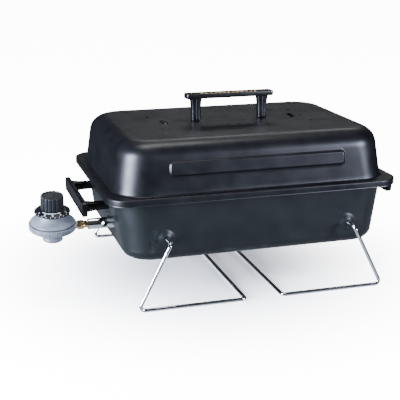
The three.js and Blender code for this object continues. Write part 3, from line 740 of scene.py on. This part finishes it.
def boss_push(point):
    """How far the cone round a leg pivot stands out of the firebox wall."""
    if abs(point.y) < WALL_BOTTOM[1] - 4:
        return 0.0
    distance = math.hypot(abs(point.x) - PIVOT_X, point.z - PIVOT_Z)
    return BOSS["height"] * smooth((BOSS["r"] - distance) / BOSS["slope"])


def displaced(point, push):
    point.y += math.copysign(push(point), point.y)
    return point


def on_rim(share, z):
    """A ring on the flange, by its share of the way from the wall to the rim."""
    return mix(WALL_TOP, RIM, share), z


def wall_at(z):
    """The firebox wall's ring at a height."""
    return mix(WALL_BOTTOM, WALL_TOP, (z - FLOOR_Z) / (FLANGE_Z - FLOOR_Z))


# ---------- lid ----------
def lid_profile():
    """From the free edge of the skirt up to the middle of the top."""
    skirt_z = FLANGE_Z + SHEET + GAP
    rows = [on_rim(1, skirt_z), on_rim(1, skirt_z + 0.8), on_rim(1, LEDGE_Z - 2.2)]
    rows += [(grown(RIM, -SKIRT_ROUND * a), LEDGE_Z - SKIRT_ROUND * b) for a, b in quarter_turn(5, 1)]
    rows += [on_rim(0.6, LEDGE_Z), on_rim(0.3, LEDGE_Z)]
    foot = mix(WALL_TOP, DOME_TOP, 0.02)
    rows += [(grown(foot, LEDGE_ROUND * b), LEDGE_Z + LEDGE_ROUND * a) for a, b in quarter_turn(5)]
    fillet = fillet_rows(WALL_TOP, LEDGE_Z, DOME_TOP, LID_TOP_Z, LID_FILLET, True, 14)[::-1]
    wall_low = mix(WALL_TOP, DOME_TOP, 0.06)
    dense = [(PANEL["z0"] - 2, PANEL["z0"] + 6), (PANEL["z1"] - 6, PANEL["z1"] + 2)]
    rows += wall_rows(wall_low, LEDGE_Z + 4.5, fillet[0][0], fillet[0][1], dense, 0.55, 3.0)
    flat = grown(fillet[-1][0], -3)
    return rows + fillet + [(flat, LID_TOP_Z)]


def catch_ramp(outer):
    """A pressed catch for a folded leg: its outer shape, or the hollow inside it."""
    low = LID_TOP_Z - (0.6 if outer else 3.0)
    start = CATCH["x"] - (0 if outer else CATCH["slot"])
    end = CATCH["x"] + CATCH["run"] - (0 if outer else 1.4)
    half = CATCH["half"] + (1.2 if outer else 0)
    top = CATCH["rise"] - (0 if outer else 0.8)
    sunk = 0.3
    steps = 24
    outlines = []
    for i in range(steps + 1):
        y = -half + 2 * half * i / steps
        taper = smooth((half - abs(y)) / 4.0 + 0.02)
        row = [(start, y, low)]
        for k in range(9):
            t = k / 8
            height = (top + sunk) * taper * (1 - smooth(t))
            row.append((start + (end - start) * t, y, LID_TOP_Z - sunk + height))
        row.append((end, y, low))
        outlines.append(row)
    return skin(outlines)


def make_lid():
    half_x, half_y = LID_STRAIGHT
    panel_end = PANEL["half"] - PANEL["ramp"]
    x_stops = straight_stops(half_x, (-panel_end, panel_end), 7.2, 0.6, 6.0)
    y_stops = straight_stops(half_y, (), 1, 1, 8.0)
    bm = shell_mesh(lid_profile()[::-1], x_stops, y_stops, panel_push, -SHEET)
    lid = finish_node("lid_shell", bm, "lid", "lid_paint")
    turned_round = Matrix.Rotation(math.pi, 3, "Z")
    combine(lid, joined([catch_ramp(True), moved(catch_ramp(True), turn=turned_round)]), "UNION")
    tools = [catch_ramp(False), moved(catch_ramp(False), turn=turned_round)]
    for side in (-1, 1):
        for row in (-1, 0, 1):
            x, y = side * VENT["x"], row * VENT["pitch"]
            tools.append(rod((x, y, LID_TOP_Z - 5), (x, y, LID_TOP_Z + 4), VENT["r"], 28))
    combine(lid, joined(tools))
    keep_flat(lid, half_x - 2, half_y - 2, LID_TOP_Z)


def keep_flat(obj, half_x, half_y, z):
    """Shades a level area as flat right up to the shapes that rise from it."""
    middle_of_grill = to_row((0, 0, 0))
    bm = bmesh.new()
    bm.from_mesh(obj.data)
    level = set()
    for vert in bm.verts:
        x, y, height = (vert.co - middle_of_grill) / MM
        if abs(x) < half_x and abs(y) < half_y and abs(height - z) < 0.02:
            level.add(vert)
    for edge in bm.edges:
        if level.issuperset(edge.verts):
            edge.smooth = False
    bm.to_mesh(obj.data)
    bm.free()


# ---------- firebox ----------
def firebox_profile():
    """From the middle of the floor up to the edge of the flange."""
    fillet = fillet_rows(WALL_TOP, FLANGE_Z, WALL_BOTTOM, FLOOR_Z, FLOOR_FILLET, False, 12)
    rows = [(grown(fillet[0][0], -3), FLOOR_Z)] + fillet
    wall_low, wall_low_z = fillet[-1]
    wall_high = mix(WALL_BOTTOM, WALL_TOP, 0.97)
    dense = [(PIVOT_Z - 16, PIVOT_Z + 15)]
    rows += wall_rows(wall_low, wall_low_z + 1.0, wall_high, FLANGE_Z - 2.6, dense, 1.0, 4.0)
    rows += [(grown(WALL_TOP, FLANGE_ROUND * a), FLANGE_Z - FLANGE_ROUND * b) for a, b in quarter_turn(4)]
    low, high, ease = FLANGE_Z, FLANGE_Z + BEAD_HEIGHT, 0.4
    bead = [(0.3, low), (0.37, low), (0.4, low + ease), (0.46, high - ease), (0.49, high), (0.68, high),
            (0.71, high - ease), (0.77, low + ease), (0.8, low), (0.95, low), (0.985, low + 0.15)]
    return rows + [on_rim(share, z) for share, z in bead]


def make_firebox():
    half_x, half_y = FIREBOX_STRAIGHT
    x_stops = straight_stops(half_x, (-PIVOT_X, PIVOT_X), 13.4, 1.0, 7.0)
    y_stops = straight_stops(half_y, (), 1, 1, 8.0)
    bm = shell_mesh(firebox_profile(), x_stops, y_stops, boss_push, SHEET)
    firebox = finish_node("firebox_shell", bm, "firebox", "firebox_paint")
    tools = []
    for side in (-1, 1):
        for face in (-1, 1):
            x, y = side * PIVOT_X, face * wall_at(PIVOT_Z)[1]
            tools.append(rod((x, y - 12, PIVOT_Z), (x, y + 12, PIVOT_Z), LEG_WIRE_R + 0.5, 28))
    x = -wall_at(OUTLET_Z)[0]
    tools.append(rod((x - 9, REG_Y, OUTLET_Z), (x + 9, REG_Y, OUTLET_Z), VENTURI["r"] + 0.5))
    for column in (-1, 0, 1):
        for row in (-1, 1):
            x, y = column * FLOOR_HOLE["x"], row * FLOOR_HOLE["y"]
            tools.append(rod((x, y, FLOOR_Z - 4), (x, y, FLOOR_Z + 4), FLOOR_HOLE["r"]))
    combine(firebox, joined(tools))


# ---------- handles ----------
def grip(handle):
    """A grip plate with a raised border on two flared legs that stand on z = 0."""
    reach = handle["reach"]
    top = reach + HANDLE["thick"]
    sunk = top - HANDLE["sunk"]
    a, b, r = handle["half"], HANDLE["width"], HANDLE["corner"]
    edge = [(1.2, reach), (0.35, reach + 0.35), (0, reach + 1.2), (0, top - 1.0), (0.25, top - 0.3),
            (0.9, top), (2.0, top), (2.4, top - 0.15), (2.7, top - 0.7), (3.2, sunk), (5, sunk)]
    parts = [plate_rows([(a - inset, b - inset, max(r - inset, 0.8), z) for inset, z in edge], 7)]
    for side in (-1, 1):
        legs = []
        for t in (0, 0.02, 0.06, 0.35, 0.6, 0.8, 0.92, 1.0):
            flare = 0.7 * t + 1.1 * smooth((t - 0.6) / 0.4)
            foot = 0.5 if t == 0 else 0
            legs.append((7.0 + flare - foot, 5.8 + flare - foot, 3.6, t * (reach + 0.6)))
        rib = plate_rows([(1.1, 6.6, 1.0, 3.0), (1.1, 7.0, 1.0, reach * 0.6), (1.1, 8.2, 1.0, reach)], 4)
        for piece in (plate_rows(legs, 5), rib):
            parts.append(moved(piece, (side * handle["leg_x"], 0, 0)))
    return joined(parts)


def generic_mark(kind):
    """A small raised ornament, a diamond or a bar, with no lettering."""
    if kind == "diamond":
        outline = [(-2.5, 0), (0, -2.4), (2.5, 0), (0, 2.4)]
    else:
        outline = [(-2.8, -0.9), (2.8, -0.9), (2.8, 0.9), (-2.8, 0.9)]
    return skin([[(x, y, 0) for x, y in outline], [(x * 0.96, y * 0.96, 0.12) for x, y in outline]])


def make_lid_handle():
    foot = LID_TOP_Z + GAP
    finish_node("lid_handle", moved(grip(LID_HANDLE), (0, 0, foot)), "lid", "handle_plastic")
    face = foot + LID_HANDLE["reach"] + HANDLE["thick"] - HANDLE["sunk"]
    marks = []
    for i in range(-6, 7):
        kind = "bar" if i % 2 else "diamond"
        marks.append(moved(generic_mark(kind), (i * MARK_PITCH, 0, face)))
    finish_piece("lid_handle_ornament", joined(marks), "gold_ink", "lid")


def side_handle_x(side):
    return side * (wall_at(SIDE_HANDLE["z"])[0] + SIDE_HANDLE["wall_gap"])


def make_side_handle(name, side):
    turn = Matrix.Rotation(side * math.pi / 2, 3, "Y") @ Matrix.Rotation(math.pi / 2, 3, "Z")
    bm = moved(grip(SIDE_HANDLE), (side_handle_x(side), 0, SIDE_HANDLE["z"]), turn)
    finish_node(f"side_handle_{name}", bm, "firebox", "handle_plastic")


# ---------- screws, washers and nuts ----------
def pan_screw(length):
    head, shank = SCREW["head"], SCREW["r"]
    outline = [(0, -head), (1.6, -head), (3.0, -1.9), (3.8, -1.0), (SCREW["head_r"], 0), (shank, 0),
               (shank, length - 1), (1.3, length), (0, length)]

    def thread(r, z, angle):
        if z < 1 or r < 1.5:
            return r
        return r + SCREW["thread"] * math.sin(2 * math.pi * z / SCREW["pitch"] - angle)

    return lathe(outline, 24, 0.15, thread)


def make_screw(node, length, place, turn, body):
    screw = finish_node(node, moved(pan_screw(length), place, turn), body, "plated_steel")
    slot = moved(block((-0.5, -5, -3.2), (0.5, 5, -1.6)), place, turn)
    combine(screw, slot)


def make_fasteners():
    up = Matrix.Identity(3)
    for name, side in SIDES:
        x = side_handle_x(side) - side * (SHEET + SCREW_INSET)
        turn = Matrix.Rotation(side * math.pi / 2, 3, "Y")
        for end, face in FACES:
            spot = (x, face * SIDE_HANDLE["leg_x"], SIDE_HANDLE["z"])
            make_screw(f"side_handle_screw_{name}_{end}", SCREW["length"], spot, turn, "firebox")
        spot = Vector((side * LID_HANDLE["leg_x"], 0, LID_TOP_Z - SHEET - GAP))
        washer = moved(lathe([(2.3, -1), (6, -1), (6, 0), (2.3, 0)], 40, 0.2), spot)
        finish_node(f"lid_handle_washer_{name}", washer, "lid", "plated_steel")
        under = spot - Vector((0, 0, 1 + GAP))
        make_screw(f"lid_handle_screw_{name}", SCREW["length"], under, up, "lid")
        spot = (*BRACKETS[name], FLOOR_Z - GAP)
        make_screw(f"burner_screw_{name}", SCREW["short"], spot, up, "firebox")


def make_leg(name, side):
    """A wire with a pin through each long wall, two arms and a foot frame flat on the ground."""
    body = f"{name}_leg"
    wall_y = wall_at(PIVOT_Z)[1]
    half = [(PIVOT_X, wall_y - 9, PIVOT_Z), (PIVOT_X, LEG_PLANE_Y, PIVOT_Z),
            (FOOT_OUTER_X, LEG_PLANE_Y, LEG_WIRE_R), (FOOT_INNER_X, LEG_PLANE_Y, LEG_WIRE_R)]
    corners = [(side * x, -y, z) for x, y, z in half] + [(side * x, y, z) for x, y, z in half[::-1]]
    wire = tube(rounded_route(corners, LEG_BEND_R, 14), LEG_WIRE_R, 24)
    finish_node(f"{name}_leg_wire", wire, body, "leg_chrome")

    def teeth(r, _, angle):
        return r - (0.25 if r > 4 and math.cos(6 * angle) > 0.8 else 0)

    for end, face in FACES:
        nut = lathe([(3.1, 0), (7, 0), (7, 0.8), (5.6, 1.2), (4.4, 2.6), (3.1, 2.6)], 48, 0.25, teeth)
        spot = (side * PIVOT_X, face * (wall_y - SHEET - SCREW_INSET), PIVOT_Z)
        nut = moved(nut, spot, Matrix.Rotation(face * math.pi / 2, 3, "X"))
        finish_node(f"{name}_leg_push_nut_{end}", nut, body, "plated_steel")


# ---------- burner, heat plate and grate ----------
def make_burner():
    x0, x1, r = BURNER["x0"], BURNER["x1"], BURNER["r"]
    corners = [(x0, REG_Y), (x1, REG_Y), (x1, -REG_Y), (BURNER["closed"], -REG_Y)]
    route = rounded_route([(x, y, OUTLET_Z) for x, y in corners], BURNER["bend"], 16)
    burner = finish_node("burner_loop", tube(route, r - 0.05, 36), "firebox", "burner_steel")
    tools = [rod((x0 - 2, REG_Y, OUTLET_Z), (x0 + 40, REG_Y, OUTLET_Z), r - BURNER["wall"])]
    for i in range(PORTS["count"]):
        for face in (-1, 1):
            x, y = PORTS["first_x"] + i * PORTS["pitch"], face * REG_Y
            tools.append(rod((x, y, OUTLET_Z + 6), (x, y, OUTLET_Z + 13), PORTS["r"], 16))
    combine(burner, joined(tools))


def make_brackets():
    low = FLOOR_Z + SHEET + GAP
    shelf = OUTLET_Z - BURNER["r"] - GAP - BRACKET["thick"]
    foot, end = BRACKET["foot"], BRACKET["end"]
    for name, (x, y) in BRACKETS.items():
        route = [(-foot, low), (foot, low), (foot, shelf), (end, shelf)]
        bracket = moved(strap(route, BRACKET["width"], BRACKET["thick"]), (x, y, 0))
        piece = finish_node(f"burner_bracket_{name}", bracket, "firebox", "plated_steel")
        combine(piece, rod((x, y, low - 2), (x, y, low + 3), 2.3, 20))


def make_heat_plate():
    half, top = HEAT_PLATE["half"], HEAT_PLATE["top"]
    low = FLOOR_Z + SHEET + GAP
    under = top - SHEET
    side = half - SHEET
    route = [(-side, low), (-side, under - 4), (-half + 14, under), (half - 14, under), (side, under - 4),
             (side, low)]
    plate = finish_node("heat_plate", strap(route, HEAT_PLATE["width"], SHEET, 3), "firebox", "burner_steel")
    tools = [block((-half - 5, REG_Y - 13, OUTLET_Z - 55), (-half + 5, REG_Y + 13, OUTLET_Z + 12))]
    for i in range(-3, 4):
        for face in (-1, 1):
            cut = plate_rows([(5, 28, 4.9, top - 5), (5, 28, 4.9, top + 5)])
            tools.append(moved(cut, (i * HEAT_PLATE["slot_x"], face * HEAT_PLATE["slot_y"], 0)))
    combine(plate, joined(tools))


def make_grate():
    a, b, r, z = GRATE["a"], GRATE["b"], GRATE["corner"], GRATE["z"]
    parts = [tube(ring_outline((a, b, r), z, corner_steps=12), GRATE["frame_r"], 16, closed=True)]
    last = a - 14
    for i in range(GRATE["rods"]):
        x = -last + i * 2 * last / (GRATE["rods"] - 1)
        over = max(abs(x) - (a - r), 0)
        reach = b - r + math.sqrt(r * r - over * over)
        parts.append(rod((x, -reach, z + 2.2), (x, reach, z + 2.2), GRATE["rod_r"], 14))
    for y in (-62, 62):
        parts.append(rod((-a, y, z + 0.4), (a, y, z + 0.4), GRATE["rod_r"], 14))
    finish_node("cooking_grate", joined(parts), "firebox", "grate_chrome")


def make_grate_tabs():
    """Angle tabs that fill their CAD nodes' boxes, with the shelf turned inward."""
    for name, face in FACES:
        for end, _ in SIDES:
            node = f"grate_tab_{name}_{end}"
            low, high = node_box(node)
            depth, rise = high.y - low.y - SHEET, high.z - low.z - SHEET
            tab = strap([(0, 0), (0, rise), (depth, rise)], high.x - low.x, SHEET, 1.2)
            wall = high.y - SHEET if face > 0 else low.y + SHEET
            spot = ((low.x + high.x) / 2 - GRILL_X, wall, low.z)
            tab = moved(tab, spot, Matrix.Rotation(-face * math.pi / 2, 3, "Z"))
            finish_node(node, tab, "firebox", "plated_steel")


# ---------- regulator ----------
def at_regulator(bm):
    """Regulator pieces are built upright, and lean to the front about the outlet's axis."""
    moved(bm, (0, 0, -OUTLET_Z))
    return moved(bm, (REG_X, REG_Y, OUTLET_Z), Matrix.Rotation(REG_TILT, 3, "X"))


def regulator_piece(node, bm, slot, body="regulator"):
    return finish_node(node, at_regulator(bm), body, slot)


def make_regulator_base():
    def ribs(r, z, angle):
        on_edge = r > RIBS["from_r"] and RIBS["z0"] < z < RIBS["z1"]
        return r - (RIBS["depth"] if on_edge and math.sin(RIBS["count"] * angle) < 0 else 0)

    r, neck, bore = BASE["r"], BASE["neck_r"], BASE["bore_r"]
    groove, seat, top = BASE["groove_z"], BASE["seat_z"], BASE["top"]
    outline = [(bore, BASE["z0"]), (neck, BASE["z0"]), (neck, groove - 0.7), (neck - 0.6, groove),
               (neck, groove + 0.7), (neck, 100.5), (29, 103.5), (33.2, 105.6), (r, 106.5), (r, top - 0.5),
               (r - 0.5, top), (28, top), (27, 107.2), (3, 106), (3, seat), (bore, seat)]
    base = regulator_piece("regulator_base", lathe(outline, 240, 0.8, ribs), "cast_zinc")
    combine(base, at_regulator(rod((29, 0, OUTLET_Z), (35.2, 0, OUTLET_Z), 5)), "UNION")


def make_regulator_top():
    r, top_r, low, high = BONNET["r"], BONNET["top_r"], BONNET["z0"], BONNET["top"]
    outline = [(r, low), (r, low + 1.4), (29.4, 118.6), (25.6, 121.8), (21, 126.4), (top_r, high - 0.8),
               (top_r - 1, high), (4, high), (4, high - 2), (15.5, 128.0), (25.8, 116.8), (25.8, low)]
    regulator_piece("regulator_bonnet", lathe(outline, 120, 1.6), "cast_zinc")
    r, low, high = DIAPHRAGM["r"], DIAPHRAGM["z0"], DIAPHRAGM["z1"]
    regulator_piece("diaphragm", lathe([(0, low), (r, low), (r, high), (0, high)], 96, 0.2), "seal_rubber")
    inner, outer, low, high = SEAL["inner"], SEAL["outer"], SEAL["z0"], SEAL["z1"]
    seal = lathe([(inner, low), (outer, low), (outer, high), (inner, high)], 64, 0.4)
    regulator_piece("inlet_seal", seal, "seal_rubber")


def hexagon(radius, start, end, chamfer=0.8):
    """A chamfered hexagonal bar along X."""
    rows = []
    for inset, x in ((chamfer, start), (0, start + chamfer * 0.7), (0, end - chamfer * 0.7), (chamfer, end)):
        row = []
        for k in range(36):
            angle = 2 * math.pi * k / 36
            flat = radius * math.cos(math.pi / 6) / math.cos((angle % (math.pi / 3)) - math.pi / 6)
            reach = min(flat, radius - inset)
            row.append((x, reach * math.cos(angle), reach * math.sin(angle)))
        rows.append(row)
    return skin(rows)


def make_outlet():
    """The brass fitting and jet between the regulator and the burner's venturi."""
    def thread(r, z, angle):
        return r + (0.16 * math.sin(2 * math.pi * z - angle) if 46 < z < 52.5 and r > 4 else 0)

    shank = lathe([(2.6, 28), (4.1, 28), (4.1, 38), (2.6, 38)], 32, 0.1)
    nose = lathe([(2.6, 43), (5.2, 43), (5.2, 52.6), (4.8, 53), (2.6, 53)], 48, 0.15, thread)
    fitting = joined([moved(shank, turn=ALONG_X), hexagon(6.9, 35.6, 45), moved(nose, turn=ALONG_X)])
    regulator_piece("outlet_fitting", moved(fitting, (0, 0, OUTLET_Z)), "gas_brass")
    tip = lathe([(0.8, 46), (2.3, 46), (2.3, 57), (3.2, 57), (1.8, 61), (0.8, 61)], 32, 0.2)
    jet = joined([moved(tip, turn=ALONG_X), hexagon(4.4, 53.3, 57.5, 0.4)])
    regulator_piece("orifice_jet", moved(jet, (0, 0, OUTLET_Z)), "gas_brass")


def make_venturi():
    r, length = VENTURI["r"], VENTURI["x1"] - VENTURI["x0"]
    outline = [(r - 1, 0), (r, 0), (r, length), (r - 1, length)]
    bm = moved(lathe(outline, 64, 0.3), (VENTURI["x0"], REG_Y, OUTLET_Z), ALONG_X)
    venturi = finish_node("venturi_tube", bm, "firebox", "venturi_plate")
    x = VENTURI["hole_x"]
    combine(venturi, rod((x, REG_Y - 20, OUTLET_Z), (x, REG_Y + 20, OUTLET_Z), VENTURI["hole_r"], 40))


def make_venturi_clip():
    """A wire clip most of the way round the tube, with one end that stands up."""
    x, r = CLIP["x"], CLIP["r"]
    knots = []
    for step in range(22):
        angle = math.radians(-126 + 10 * step)
        knots.append((x, REG_Y + r * math.cos(angle), OUTLET_Z + r * math.sin(angle)))
    knots.append((x, REG_Y - 0.4, OUTLET_Z + 11))
    knots.append((x, REG_Y - 1.0, OUTLET_Z + 14.3))
    finish_node("venturi_clip", tube(knots, CLIP["wire_r"], 12), "firebox", "clip_steel")


def make_knob():
    def flutes(r, _, angle):
        depth = smooth((r - KNOB["flute_from"]) / 1.2)
        groove = max(0.0, math.cos(KNOB["flutes"] * angle)) ** 2
        return r - KNOB["flute_depth"] * depth * groove

    r, low, top = KNOB["r"], KNOB["z0"], KNOB["top"]
    outline = [(STEM_HOLE_R, low), (r, low), (r, low + 3.2), (r - 0.3, top - 1.3), (r - 1.3, top),
               (14.2, top), (13.3, top - 0.6), (12.7, top - 1.5), (0, top - 1.7), (0, 147.0),
               (STEM_HOLE_R, 147.0)]
    regulator_piece("control_knob", lathe(outline, 192, 0.5, flutes), "knob_plastic", "knob")


def make_dial():
    r, low, edge, top = SKIRT["r"], SKIRT["z0"], SKIRT["edge_z"], SKIRT["top"]
    outline = [(STEM_HOLE_R, low), (r - 0.8, low), (r, low + 0.8), (r, edge), (SKIRT["top_r"], top),
               (STEM_HOLE_R, top)]
    regulator_piece("dial_skirt", lathe(outline, 144, 0.6), "dial_plastic", "knob")
    marks = [dial_band(BAND["start"], BAND["end"], BAND["inner"], BAND["outer"])]
    for k in range(DIAL["marks"]):
        marks.append(dial_tick(DIAL["first"] + DIAL["step"] * k))
    finish_piece("dial_marks", at_regulator(joined(marks)), "white_ink", "knob")
    for k in range(DIAL["numbers"]):
        dial_number(str(k + 1), DIAL["first"] + DIAL["step"] * (2 * k + 0.5))


def dial_fall():
    """How far the dial's face falls, and over what radius."""
    return SKIRT["top"] - SKIRT["edge_z"], SKIRT["r"] - SKIRT["top_r"]


def dial_height(radius):
    """The height of the dial's sloping face."""
    fall, run = dial_fall()
    return SKIRT["top"] - (radius - SKIRT["top_r"]) / run * fall


def dial_band(start, end, inner, outer):
    """A printed arc between two angles in degrees and two radii."""
    rows = []
    steps = 60
    for i in range(steps + 1):
        angle = math.radians(start + (end - start) * i / steps)
        row = []
        for radius, lift in ((inner, -INK), (outer, -INK), (outer, INK), (inner, INK)):
            row.append((radius * math.cos(angle), radius * math.sin(angle), dial_height(radius) + lift))
        rows.append(row)
    return skin(rows)


def dial_tick(degrees):
    """A short printed stroke that points at the middle of the dial."""
    spread = math.degrees(TICK["half_width"] / TICK["inner"])
    return dial_band(degrees - spread, degrees + spread, TICK["inner"], TICK["outer"])


def dial_number(text, degrees):
    """A plain number laid on the dial's sloping face, with its foot outward."""
    curve = bpy.data.curves.new("number", "FONT")
    curve.body = text
    curve.size = DIAL["number_size"]
    curve.extrude = INK
    curve.align_x = "CENTER"
    curve.align_y = "CENTER"
    holder = bpy.data.objects.new("number", curve)
    add_object(holder)
    data = bpy.data.meshes.new_from_object(holder.evaluated_get(bpy.context.evaluated_depsgraph_get()))
    bpy.data.objects.remove(holder)
    bm = bmesh.new()
    bm.from_mesh(data)
    slope = Matrix.Rotation(math.atan2(*dial_fall()), 3, "X")
    round_axis = Matrix.Rotation(math.radians(degrees + 90), 3, "Z")
    angle = math.radians(degrees)
    radius = DIAL["number_r"]
    place = (radius * math.cos(angle), radius * math.sin(angle), dial_height(radius) + INK / 2)
    bm = at_regulator(moved(bm, place, round_axis @ slope))
    finish_piece(f"dial_number_{text}", bm, "white_ink", "knob")


# ---------- build ----------
add_camera()
add_studio()

PAINTS = {
    "lid_paint": lid_paint(), "firebox_paint": firebox_paint(), "leg_chrome": chrome(),
    "plated_steel": zinc_plate(), "burner_steel": stainless(), "handle_plastic": phenolic(),
    "knob_plastic": knob_plastic(), "dial_plastic": dial_plastic(), "cast_zinc": cast_zinc(),
    "gas_brass": brass(), "seal_rubber": rubber(), "clip_steel": black_steel(),
    "gold_ink": gold_ink(), "white_ink": white_ink(),
}
PAINTS["grate_chrome"] = PAINTS["leg_chrome"]
PAINTS["venturi_plate"] = PAINTS["leg_chrome"]

# every CAD node gets its slot's finish
for entry in frame["record"]["subparts"]:
    node = frame["nodes"][entry["node"]]
    node.data.materials.clear()
    node.data.materials.append(PAINTS[entry["material_slot"]])

make_lid()
make_firebox()
make_lid_handle()
for hand, direction in SIDES:
    make_side_handle(hand, direction)
for hand, direction in SIDES:
    make_leg(hand, direction)
make_fasteners()
make_burner()
make_brackets()
make_heat_plate()
make_grate()
make_grate_tabs()
make_regulator_base()
make_regulator_top()
make_outlet()
make_venturi()
make_venturi_clip()
make_knob()
make_dial()
